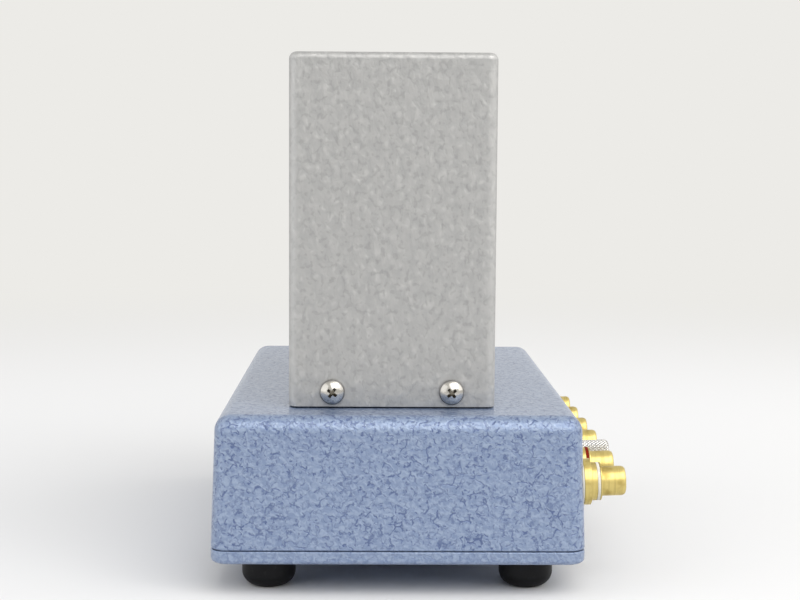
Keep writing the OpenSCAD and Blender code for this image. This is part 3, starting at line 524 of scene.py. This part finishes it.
MATERIALS = {
    "blue_hammertone": blue_hammertone("blue_hammertone", BLUE_CELL, BLUE_DEPTH),
    "silver_hammertone": silver_hammertone(),
    "black_rubber": black_rubber(),
    "nickel": scratched_metal("nickel", (0.68, 0.66, 0.62), (0.48, 0.46, 0.43), 0.27),
    "zinc_steel": scratched_metal("zinc_steel", (0.6, 0.61, 0.62), (0.45, 0.46, 0.47), 0.3),
    "shield_metal": scratched_metal("shield_metal", (0.42, 0.42, 0.42), (0.3, 0.3, 0.31), 0.35),
    "core_steel": striped_metal(
        "core_steel", (0.3, 0.31, 0.33), (0.08, 0.08, 0.09), "X", 0.35 * MM, 0.5, 0.8
    ),
    "winding_copper": striped_metal(
        "winding_copper", (0.62, 0.25, 0.11), (0.2, 0.06, 0.03), "Z", 0.3 * MM, 0.35, 0.9
    ),
    "gold_plate": turned_metal("gold_plate", (0.7, 0.565, 0.21), (0.48, 0.36, 0.11), 0.36, 0.4 * MM),
    "white_plastic": moulded_plastic("white_plastic", (0.84, 0.81, 0.72), (0.76, 0.73, 0.64), 0.4),
    "red_plastic": moulded_plastic("red_plastic", (0.27, 0.014, 0.001), (0.2, 0.009, 0.001), 0.5, 0.12),
    "bobbin_plastic": moulded_plastic("bobbin_plastic", (0.7, 0.64, 0.45), (0.58, 0.52, 0.36), 0.5),
    "felt": felt(),
    "black_insulation": moulded_plastic(
        "black_insulation", (0.02, 0.02, 0.02), (0.035, 0.035, 0.035), 0.45
    ),
}
PLATE_PAINT = blue_hammertone("blue_hammertone_fine", PLATE_CELL, PLATE_DEPTH)
# Paler nickel for the thumb nut: a painted highlight on its knurl
NUT_LIT_METAL = scratched_metal("nut_lit_nickel", (0.92, 0.91, 0.89), (0.78, 0.77, 0.74), 0.25)
# Darker nickel for the screw heads: painted shade, standing in for dark reflections in their lower halves
SCREW_METAL = scratched_metal("screw_nickel", (0.6, 0.58, 0.54), (0.38, 0.365, 0.34), 0.17)
# Darker nickel for the steep rims of the screw heads: painted shade
RIM_SHADE_METAL = scratched_metal("rim_shade_nickel", (0.36, 0.352, 0.34), (0.19, 0.185, 0.18), 0.36)
# Darker nickel in the screw recesses and the knurl's grooves: painted shade
SHADED_RECESS_METAL = scratched_metal("recess_shade_nickel", (0.36, 0.33, 0.28), (0.1, 0.09, 0.07), 0.3)
# Near-black for the cover brackets: painted shade where they show through the gap under the cover
BRACKET_SHADE_METAL = scratched_metal("bracket_shade_black", (0.035, 0.036, 0.042), (0.02, 0.021, 0.025), 0.5)


# Shapes

def rounded_loop(centre, half_x, half_y, radius, z):
    """Points round a rectangle with round corners, at one height."""
    points = []
    for quarter, (side_x, side_y) in enumerate(((1, 1), (-1, 1), (-1, -1), (1, -1))):
        for step in range(CORNER_STEPS + 1):
            angle = math.pi / 2 * (quarter + step / CORNER_STEPS)
            x = centre.x + side_x * (half_x - radius) + radius * math.cos(angle)
            y = centre.y + side_y * (half_y - radius) + radius * math.sin(angle)
            points.append(Vector((x, y, z)))
    return points


def block_loops(centre, size, corner, low, high, lean=0.0, inset=0.0):
    """Loops up the side of a block. low and high are a height and a rounding each."""
    (low_z, low_round), (high_z, high_round) = low, high
    top_lean = (high_z - high_round - low_z) * math.tan(lean)
    levels = []
    for step in range(EDGE_STEPS + 1):
        turn = math.pi / 2 * step / EDGE_STEPS
        levels.append((0.0, low_round * (1 - math.sin(turn)), low_z + low_round * (1 - math.cos(turn))))
    for step in range(EDGE_STEPS + 1):
        turn = math.pi / 2 * step / EDGE_STEPS
        rounding = high_round * (1 - math.cos(turn))
        levels.append((top_lean, rounding, high_z - high_round * (1 - math.sin(turn))))
    if low_round == 0:
        levels = levels[EDGE_STEPS:]
    return [
        rounded_loop(
            centre,
            size.x / 2 - inset - leaning - rounding,
            size.y / 2 - inset - leaning - rounding,
            corner - inset - rounding,
            z,
        )
        for leaning, rounding, z in levels
    ]


def solid(bm, loops):
    """Skins the loops in turn and closes both ends."""
    rows = [[bm.verts.new(point) for point in loop] for loop in loops]
    for row, following in zip(rows, rows[1:]):
        for i, vert in enumerate(row):
            j = (i + 1) % len(row)
            bm.faces.new((vert, row[j], following[j], following[i]))
    bm.faces.new(rows[0])
    bm.faces.new(rows[-1])


def brick(bm, centre, size):
    scale = Matrix.Diagonal((*size, 1.0))
    bmesh.ops.create_cube(bm, size=1.0, matrix=Matrix.Translation(centre) @ scale)


def rod(bm, start, axis, length, radius, end_radius=None):
    """A straight or tapered round rod from a point along an axis."""
    turn = UP.rotation_difference(axis).to_matrix().to_4x4()
    bmesh.ops.create_cone(
        bm, cap_ends=True, segments=HOLE_STEPS, radius1=radius,
        radius2=radius if end_radius is None else end_radius, depth=length,
        matrix=Matrix.Translation(start + axis * length / 2) @ turn,
    )


def soften(points, reach, closed=True):
    """The outline with each corner made a short curve, no longer than the sides allow."""
    outline = []
    points = [Vector(point) for point in points]
    for i, corner in enumerate(points):
        before = points[i - 1] - corner
        after = points[(i + 1) % len(points)] - corner
        if not closed and i in (0, len(points) - 1):
            outline.append(corner)
            continue
        size = min(reach, SOFT_SHARE * before.length, SOFT_SHARE * after.length)
        start = corner + before.normalized() * size
        end = corner + after.normalized() * size
        for step in range(SOFT_STEPS + 1):
            share = step / SOFT_STEPS
            outline.append(start.lerp(corner, share).lerp(corner.lerp(end, share), share))
    return outline


def lathe(bm, profile, origin, axis, closed=True):
    """Turns a profile of (radius, distance along the axis) points about the axis."""
    side = axis.orthogonal().normalized()
    across = axis.cross(side)
    rows = []
    for radius, along in profile:
        middle = origin + axis * along
        if radius < TINY:
            rows.append([bm.verts.new(middle)] * TURN_STEPS)
            continue
        row = []
        for step in range(TURN_STEPS):
            angle = 2 * math.pi * step / TURN_STEPS
            spoke = side * math.cos(angle) + across * math.sin(angle)
            row.append(bm.verts.new(middle + radius * spoke))
        rows.append(row)
    pairs = list(zip(rows, rows[1:]))
    if closed:
        pairs.append((rows[-1], rows[0]))
    for row, following in pairs:
        for i in range(TURN_STEPS):
            j = (i + 1) % TURN_STEPS
            ring = dict.fromkeys((row[i], row[j], following[j], following[i]))
            bm.faces.new(tuple(ring))


def make_object(bm, name):
    bmesh.ops.recalc_face_normals(bm, faces=bm.faces)
    mesh = bpy.data.meshes.new(name)
    bm.to_mesh(mesh)
    bm.free()
    made = bpy.data.objects.new(name, mesh)
    bpy.context.scene.collection.objects.link(made)
    return made


def combine(piece, operation, shapes, finish=None):
    """Adds the shapes to the piece, or cuts them out and gives the cut faces a finish if there is one."""
    tool = make_object(shapes, piece.name + "_tool")
    if finish:
        tool.data.materials.append(finish)
    modifier = piece.modifiers.new("combine", "BOOLEAN")
    modifier.operation = operation
    modifier.solver = "EXACT"
    modifier.material_mode = "TRANSFER" if finish else "INDEX"
    modifier.object = tool
    graph = bpy.context.evaluated_depsgraph_get()
    whole = piece.data
    piece.data = bpy.data.meshes.new_from_object(piece.evaluated_get(graph))
    piece.modifiers.clear()
    bpy.data.meshes.remove(whole)
    bpy.data.objects.remove(tool)


def dress(piece, slot, replaced, body="chassis", material=None):
    """Gives a piece its finish, smooth faces and a body to ride on."""
    mesh = piece.data
    if not mesh.materials:
        mesh.materials.append(material or MATERIALS[slot])
    mesh.shade_smooth()
    mesh.set_sharp_from_angle(angle=SHARP_ANGLE)
    weighted = piece.modifiers.new("even_normals", "WEIGHTED_NORMAL")
    weighted.keep_sharp = True
    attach(piece, body)
    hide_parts(*replaced)


# Places taken from the frame

BOX_LOW, BOX_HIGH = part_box("chassis_box")
BOX_CENTRE = (BOX_LOW + BOX_HIGH) / 2
BOX_SIZE = BOX_HIGH - BOX_LOW
RIM_Z = BOX_LOW.z
DECK_Z = BOX_HIGH.z
PLATE_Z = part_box("base_plate")[0].z
COVER_LOW, COVER_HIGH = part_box("transformer_cover")
COVER_CENTRE = (COVER_LOW + COVER_HIGH) / 2
COVER_SIZE = COVER_HIGH - COVER_LOW
WALL_AXIS = Vector(MOUNTS["socket_1_barrel"]["axis"]).normalized()
SOCKETS = [
    Vector(MOUNTS[f"socket_{number}_barrel"]["pos_m"]) - WALL_AXIS * BARREL_MIDDLE
    for number in range(1, 7)
]
GROUND_POST = Vector(MOUNTS["ground_post"]["pos_m"]) - WALL_AXIS * GROUND_POST_OUT
FEET = ("near_front_foot", "near_rear_foot", "far_front_foot", "far_rear_foot")
BRACKETS = ("near_cover_bracket", "far_cover_bracket")


def middle_of(node):
    low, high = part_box(node)
    return (low + high) / 2


def corners(half_x, half_y):
    return [(side_x * half_x, side_y * half_y) for side_x in (-1, 1) for side_y in (-1, 1)]


BOSSES = [
    Vector((BOX_CENTRE.x + x, BOX_CENTRE.y + y, RIM_Z))
    for x, y in corners(BOX_SIZE.x / 2 - BOSS_INSET, BOX_SIZE.y / 2 - BOSS_INSET)
]


def group_corners(node, radius):
    """Where the four round pieces of a group stand, from the corners of the group's box."""
    low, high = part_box(node)
    return [(x, y) for x in (low.x + radius, high.x - radius) for y in (low.y + radius, high.y - radius)]


def deck_holes():
    """Place and radius of each hole under the cover: for screws and for the lead bushings."""
    screws = group_corners("bracket_screws", SMALL_SCREW_HEAD_R)
    screws += group_corners("transformer_screws", SMALL_SCREW_HEAD_R)
    holes = [(x, y, SMALL_SCREW_HOLE_R) for x, y in screws]
    low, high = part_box("lead_bushings")
    for y in (low.y + BUSHING_FLANGE_R, high.y - BUSHING_FLANGE_R):
        holes.append(((low.x + high.x) / 2, y, BUSHING_HOLE_R))
    return holes


# Pieces

def painted_box():
    bm = bmesh.new()
    outside = block_loops(
        BOX_CENTRE, BOX_SIZE, BOX_CORNER, (RIM_Z, SEAM_ROUND), (DECK_Z, DECK_ROUND), BOX_LEAN
    )
    inside = block_loops(
        BOX_CENTRE, BOX_SIZE, BOX_CORNER, (RIM_Z, 0.0), (DECK_Z - BOX_WALL, DECK_ROUND - BOX_WALL),
        BOX_LEAN, BOX_WALL,
    )
    solid(bm, outside[::-1] + inside)
    piece = make_object(bm, "painted_box")
    columns = bmesh.new()
    cutters = bmesh.new()
    for boss in BOSSES:
        rod(columns, boss, UP, BOSS_H, BOSS_R)
        rod(cutters, boss - UP * CUT_SPARE, UP, BOSS_HOLE_DEPTH + CUT_SPARE, BOSS_HOLE_R)
    for wall_point in SOCKETS:
        rod(cutters, wall_point - WALL_AXIS * 2 * BOX_WALL, WALL_AXIS, 3 * BOX_WALL, SOCKET_HOLE_R)
    rod(cutters, GROUND_POST - WALL_AXIS * 2 * BOX_WALL, WALL_AXIS, 3 * BOX_WALL, STUD_HOLE_R)
    for x, y, radius in deck_holes():
        rod(cutters, Vector((x, y, DECK_Z - 2 * BOX_WALL)), UP, 3 * BOX_WALL, radius)
    combine(piece, "UNION", columns)
    combine(piece, "DIFFERENCE", cutters)
    dress(piece, "blue_hammertone", ["chassis_box"])


def painted_base_plate():
    bm = bmesh.new()
    loops = block_loops(
        BOX_CENTRE, BOX_SIZE, BOX_CORNER, (PLATE_Z, PLATE_ROUND), (RIM_Z - SEAM_GAP, SEAM_ROUND)
    )
    land = block_loops(
        BOX_CENTRE, BOX_SIZE, BOX_CORNER, (RIM_Z - SEAM_GAP, 0.0), (RIM_Z, 0.0), 0.0, SEAM_DEPTH
    )
    solid(bm, loops + [land[0], land[-1]])
    piece = make_object(bm, "painted_base_plate")
    ribs = bmesh.new()
    rib_span = BOX_SIZE.xy / 2 - Vector((RIB_INSET + RIB_T / 2, RIB_INSET + RIB_T / 2))
    rib_length = BOX_SIZE.xy - 2 * Vector((1, 1)) * (BOSS_INSET + BOSS_R + RIB_END_GAP)
    rib_z = RIM_Z + (RIB_H - CUT_SPARE) / 2
    for side in (-1, 1):
        across = Vector((BOX_CENTRE.x + side * rib_span.x, BOX_CENTRE.y, rib_z))
        along = Vector((BOX_CENTRE.x, BOX_CENTRE.y + side * rib_span.y, rib_z))
        brick(ribs, across, (RIB_T, rib_length.y, RIB_H + CUT_SPARE))
        brick(ribs, along, (rib_length.x, RIB_T, RIB_H + CUT_SPARE))
    combine(piece, "UNION", ribs)
    thickness = RIM_Z - PLATE_Z
    cutters = bmesh.new()
    for boss in BOSSES:
        under = Vector((boss.x, boss.y, PLATE_Z - CUT_SPARE))
        rod(cutters, under, UP, thickness + 2 * CUT_SPARE, PLATE_SCREW_R)
    for foot in FEET:
        place = middle_of(foot)
        under = Vector((place.x, place.y, PLATE_Z - CUT_SPARE))
        rod(cutters, under, UP, thickness + 2 * CUT_SPARE, SMALL_SCREW_HOLE_R)
    combine(piece, "DIFFERENCE", cutters)
    sinks = bmesh.new()
    for boss in BOSSES:
        under = Vector((boss.x, boss.y, PLATE_Z))
        rod(sinks, under, UP, PLATE_SINK_DEPTH, PLATE_SINK_R, PLATE_SCREW_R - RING_GAP)
    combine(piece, "DIFFERENCE", sinks)
    dress(piece, "blue_hammertone", ["base_plate"], material=PLATE_PAINT)


def painted_cover():
    bm = bmesh.new()
    foot = COVER_LOW.z
    outside = block_loops(
        COVER_CENTRE, COVER_SIZE, COVER_CORNER, (foot, COVER_FOOT_SOFT), (COVER_HIGH.z, COVER_TOP_ROUND)
    )
    inside = block_loops(
        COVER_CENTRE, COVER_SIZE, COVER_CORNER, (foot, 0.0),
        (COVER_HIGH.z - COVER_WALL, COVER_TOP_ROUND - COVER_WALL), 0.0, COVER_WALL,
    )
    solid(bm, outside[::-1] + inside)
    piece = make_object(bm, "painted_cover")
    cutters = bmesh.new()
    for place, out, _ in cover_screw_places():
        rod(cutters, place + out * CUT_SPARE, -out, COVER_WALL + 2 * CUT_SPARE, COVER_SCREW_HOLE_R)
    combine(piece, "DIFFERENCE", cutters)
    dress(piece, "silver_hammertone", ["transformer_cover"])


def cover_screw_places():
    """Where each screw meets the cover, the way its head faces, and the turn of its recess."""
    low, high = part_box("cover_screws")
    rows = []
    for end in (-1, 1):
        for x in (low.x + SCREW_HEAD_R, high.x - SCREW_HEAD_R):
            y = COVER_CENTRE.y + end * COVER_SIZE.y / 2
            turn = math.radians(SCREW_TURNS[len(rows)])
            rows.append((Vector((x, y, (low.z + high.z) / 2)), Vector((0, end, 0)), turn))
    return rows


def recess_loops(place, out, turn):
    """Loops of a cross recess that narrows towards its bottom."""
    right = UP.cross(out).normalized()
    loops = []
    for (span, slot), depth in ((RECESS_TOP, -CUT_SPARE), (RECESS_TOP, 0.0), (RECESS_BOTTOM, RECESS_DEPTH)):
        outline = []
        for quarter in range(4):
            angle = turn + quarter * math.pi / 2
            for x, y in ((span / 2, -slot / 2), (span / 2, slot / 2), (slot / 2, slot / 2)):
                outline.append((
                    x * math.cos(angle) - y * math.sin(angle),
                    x * math.sin(angle) + y * math.cos(angle),
                ))
        soft = soften(outline, RECESS_SOFT)
        top = place + out * (SCREW_HEAD_H - depth)
        loops.append([top + right * point.x + UP * point.y for point in soft])
    return loops


def nickel_cover_screws():
    """Domed screws with cross recesses. The steep rims of their heads take a darker nickel, a painted
    shade.
    """
    rise = SCREW_HEAD_H - SCREW_EDGE_H
    dome_r = (SCREW_HEAD_R ** 2 + rise ** 2) / (2 * rise)
    sweep = math.asin(SCREW_HEAD_R / dome_r)
    dome = []
    for step in range(EDGE_STEPS):
        angle = sweep * (1 - step / EDGE_STEPS)
        dome.append((dome_r * math.sin(angle), SCREW_HEAD_H - dome_r * (1 - math.cos(angle))))
    side = [(0.0, -SCREW_L), (SCREW_R, -SCREW_L), (SCREW_R, 0.0), (SCREW_HEAD_R, 0.0)]
    profile = soften(side + dome, SHELL_SOFT, closed=False) + [Vector((0.0, SCREW_HEAD_H))]
    bm = bmesh.new()
    cutters = bmesh.new()
    for place, out, turn in cover_screw_places():
        lathe(bm, profile, place, out, closed=False)
        solid(cutters, recess_loops(place, out, turn))
    bm.normal_update()
    # Painted shade: the steep rims of the heads, outside the cover, take the darker nickel
    for face in bm.faces:
        outside = abs(face.calc_center_median().y - COVER_CENTRE.y) > COVER_SIZE.y / 2
        if outside and abs(face.normal.y) < RIM_SLOPE:
            face.material_index = SHADE_SLOT
    piece = make_object(bm, "nickel_cover_screws")
    piece.data.materials.append(SCREW_METAL)
    piece.data.materials.append(RIM_SHADE_METAL)
    # The cut recess walls take the darker nickel, a painted shade
    combine(piece, "DIFFERENCE", cutters, SHADED_RECESS_METAL)
    dress(piece, "nickel", ["cover_screws"])


def rubber_feet():
    for foot in FEET:
        low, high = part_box(foot)
        radius = (high.x - low.x) / 2
        height = high.z - low.z
        well = [
            (radius, height),
            (SMALL_SCREW_HOLE_R, height),
            (SMALL_SCREW_HOLE_R, FOOT_WELL_DEPTH),
            (FOOT_WELL_R, FOOT_WELL_DEPTH),
            (FOOT_WELL_R, 0.0),
            (radius - FOOT_ROUND, 0.0),
        ]
        profile = soften(well, FOOT_TOP_SOFT, closed=False)[1:]
        for step in range(1, EDGE_STEPS + 1):
            angle = math.pi / 2 * step / EDGE_STEPS
            inset = FOOT_ROUND * (1 - math.sin(angle))
            profile.append(Vector((radius - inset, FOOT_ROUND * (1 - math.cos(angle)))))
        profile.append(Vector((radius, height - FOOT_TOP_SOFT)))
        profile.append(Vector((radius - FOOT_TOP_SOFT, height)))
        bm = bmesh.new()
        middle = middle_of(foot)
        lathe(bm, profile, Vector((middle.x, middle.y, 0.0)), UP)
        dress(make_object(bm, "rubber_" + foot), "black_rubber", [foot])


def gilt_sockets():
    profile = [
        (BARREL_BORE_R, TIP_OUT),
        (BARREL_BORE_R, THREAD_BACK),
        (THREAD_R, THREAD_BACK),
        (THREAD_R, WASHER_OUT),
        (FLANGE_R, WASHER_OUT),
        (FLANGE_R, FLANGE_OUT),
        (COLLAR_R, FLANGE_OUT),
        (COLLAR_R, COLLAR_OUT),
        (RING_SEAT_R, COLLAR_OUT),
        (RING_SEAT_R, RING_OUT),
        (COLLAR_R, RING_OUT),
        (COLLAR_R, RIM_OUT),
        (BARREL_R, RIM_OUT),
        (BARREL_R, TIP_OUT - NOSE_L),
    ]
    outline = soften(profile, SHELL_SOFT, closed=False)
    for step in range(1, EDGE_STEPS + 1):
        angle = math.pi / 2 * step / EDGE_STEPS
        radius = BARREL_R - NOSE_DEPTH * (1 - math.cos(angle))
        outline.append(Vector((radius, TIP_OUT - NOSE_L * (1 - math.sin(angle)))))
    for number, wall_point in enumerate(SOCKETS, 1):
        bm = bmesh.new()
        lathe(bm, outline, wall_point, WALL_AXIS)
        dress(make_object(bm, f"gilt_socket_{number}"), "gold_plate", [f"socket_shell_{number}"])


def channel_rings(name, first, slot, node):
    profile = [
        (RING_SEAT_R + RING_GAP, COLLAR_OUT),
        (COLLAR_R, COLLAR_OUT),
        (COLLAR_R, RING_OUT),
        (RING_SEAT_R + RING_GAP, RING_OUT),
    ]
    bm = bmesh.new()
    for wall_point in SOCKETS[first::2]:
        lathe(bm, soften(profile, RING_SOFT), wall_point, WALL_AXIS)
    dress(make_object(bm, name), slot, [node])


def knurl_height(turn, along):
    """How far a point of the knurl stands up, from 0 in a groove to 1 on a diamond."""
    heights = []
    for hand in (-1, 1):
        share = (KNURL_STARTS * turn + hand * along / KNURL_RISE) % 1.0
        heights.append(1 - abs(2 * share - 1))
    return min(heights)


def knurled_thumb_nut():
    joint = next(row for row in frame["record"]["behaviour"]["joints"] if row["name"] == "thumb_nut_turn")
    start = Vector(joint["pos_m"])
    side = WALL_AXIS.orthogonal().normalized()
    across = WALL_AXIS.cross(side)
    bm = bmesh.new()
    rows = []
    for row in range(KNURL_ROWS + 1):
        along = NUT_L * row / KNURL_ROWS
        bevel_r = NUT_R - NUT_CHAMFER + min(along, NUT_L - along)
        ring = []
        for column in range(KNURL_COLUMNS):
            turn = column / KNURL_COLUMNS
            radius = min(bevel_r, NUT_R - KNURL_DEPTH * (1 - knurl_height(turn, along)))
            angle = 2 * math.pi * turn
            spoke = side * math.cos(angle) + across * math.sin(angle)
            ring.append(bm.verts.new(start + WALL_AXIS * along + spoke * radius))
        rows.append(ring)
    for along in (NUT_L, 0.0):
        ring = []
        for column in range(KNURL_COLUMNS):
            angle = 2 * math.pi * column / KNURL_COLUMNS
            spoke = side * math.cos(angle) + across * math.sin(angle)
            ring.append(bm.verts.new(start + WALL_AXIS * along + spoke * NUT_BORE_R))
        rows.append(ring)
    for number, row in enumerate(rows):
        following = rows[(number + 1) % len(rows)]
        along = NUT_L * (number + 0.5) / KNURL_ROWS
        for i in range(KNURL_COLUMNS):
            j = (i + 1) % KNURL_COLUMNS
            face = bm.faces.new((row[i], row[j], following[j], following[i]))
            # Painted shade: faces deep in the grooves take the darker nickel
            in_groove = knurl_height((i + 0.5) / KNURL_COLUMNS, along) < KNURL_SHADE_LEVEL
            if number < KNURL_ROWS and in_groove:
                face.material_index = SHADE_SLOT
    piece = make_object(bm, "knurled_thumb_nut")
    # The nut takes the paler nickel, a painted highlight
    piece.data.materials.append(NUT_LIT_METAL)
    piece.data.materials.append(SHADED_RECESS_METAL)
    dress(piece, "nickel", ["ground_thumb_nut"], "thumb_nut")


def dress_carried_nodes():
    """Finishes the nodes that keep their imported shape."""
    slots = {row["node"]: row["material_slot"] for row in frame["record"]["subparts"]}
    for name, piece in NODES.items():
        if piece.hide_render:
            continue
        piece.data.materials.clear()
        # The brackets take near-black, a painted shade in the gap under the cover
        piece.data.materials.append(BRACKET_SHADE_METAL if name in BRACKETS else MATERIALS[slots[name]])


# Stage

def place_camera():
    data = bpy.data.cameras.new("camera")
    data.lens = CAMERA_LENS
    camera = bpy.data.objects.new("camera", data)
    level = math.cos(CAMERA_PITCH)
    forward = Vector((
        math.sin(CAMERA_YAW) * level,
        math.cos(CAMERA_YAW) * level,
        math.sin(CAMERA_PITCH),
    ))
    flat_right = forward.cross(UP).normalized()
    flat_up = flat_right.cross(forward)
    right = flat_right * math.cos(CAMERA_ROLL) + flat_up * math.sin(CAMERA_ROLL)
    upward = right.cross(forward)
    turn = Matrix((right, upward, -forward)).transposed().to_4x4()
    camera.matrix_world = Matrix.Translation(CAMERA_PLACE) @ turn
    bpy.context.scene.collection.objects.link(camera)
    bpy.context.scene.camera = camera


def soft_box(name, place, size, watts, colour):
    data = bpy.data.lights.new(name, "AREA")
    data.shape = "RECTANGLE"
    data.size, data.size_y = size
    data.energy = watts
    data.color = colour
    light = bpy.data.objects.new(name, data)
    light.location = place
    light.rotation_euler = (LAMP_AIM - place).to_track_quat("-Z", "Y").to_euler()
    bpy.context.scene.collection.objects.link(light)


def shown_rays(nodes):
    """1 for rays that show the background: straight from the camera, mirrored or through glass."""
    path = nodes.add("ShaderNodeLightPath").outputs
    turned = nodes.math("MAXIMUM", path["Is Glossy Ray"], path["Is Transmission Ray"])
    return nodes.math("MAXIMUM", path["Is Camera Ray"], turned)


def light_room():
    """A pale room: bright above, pale behind the object, darker on the camera's side and low down."""
    world = bpy.data.worlds.new("room")
    bpy.context.scene.world = world
    world.use_nodes = True
    nodes = Nodes(world.node_tree)
    background = world.node_tree.nodes["Background"]
    way = nodes.add("ShaderNodeTexCoord").outputs["Generated"]
    parts = nodes.add("ShaderNodeSeparateXYZ", {0: way}).outputs
    behind = nodes.mix(nodes.step(parts["X"], *LEFT_FADE), opaque(ROOM_LEFT), opaque(BACKDROP))
    sides = nodes.mix(nodes.step(parts["Y"], *FRONT_FADE), opaque(ROOM_FRONT), behind)
    room = nodes.mix(nodes.step(parts["Z"], *ABOVE_FADE), sides, opaque(ROOM_ABOVE))
    lit = nodes.mix(nodes.step(parts["Z"], *LOW_FADE), opaque(ROOM_LOW), room)
    nodes.plug(background.inputs["Color"], nodes.mix(shown_rays(nodes), lit, opaque(BACKDROP)))


def pale_floor():
    bm = bmesh.new()
    bmesh.ops.create_circle(bm, cap_ends=True, segments=HOLE_STEPS, radius=FLOOR_R)
    floor = make_object(bm, "floor")
    floor.location.z = -FLOOR_DROP
    material, nodes, shader = new_material("floor")
    set_surface(
        nodes, shader, base_color=opaque(FLOOR_COLOUR), roughness=FLOOR_ROUGHNESS, specular_ior_level=0.0
    )
    far = nodes.step(nodes.measure("LENGTH", nodes.place()), *FLOOR_FADE)
    around = nodes.mix(shown_rays(nodes), opaque(FLOOR_AROUND), opaque(BACKDROP))
    glow = nodes.add("ShaderNodeEmission", {"Color": around})
    blend = nodes.add("ShaderNodeMixShader", {0: far, 1: shader.outputs[0], 2: glow.outputs[0]})
    output = material.node_tree.nodes["Material Output"]
    nodes.plug(output.inputs["Surface"], blend.outputs[0])
    floor.data.materials.append(material)


place_camera()
painted_box()
painted_base_plate()
painted_cover()
nickel_cover_screws()
rubber_feet()
gilt_sockets()
channel_rings("white_channel_rings", 0, "white_plastic", "white_rings")
channel_rings("red_channel_rings", 1, "red_plastic", "red_rings")
knurled_thumb_nut()
dress_carried_nodes()
pale_floor()
light_room()
for lamp in LAMPS:
    soft_box(*lamp)
bpy.context.scene.view_settings.view_transform = "Standard"
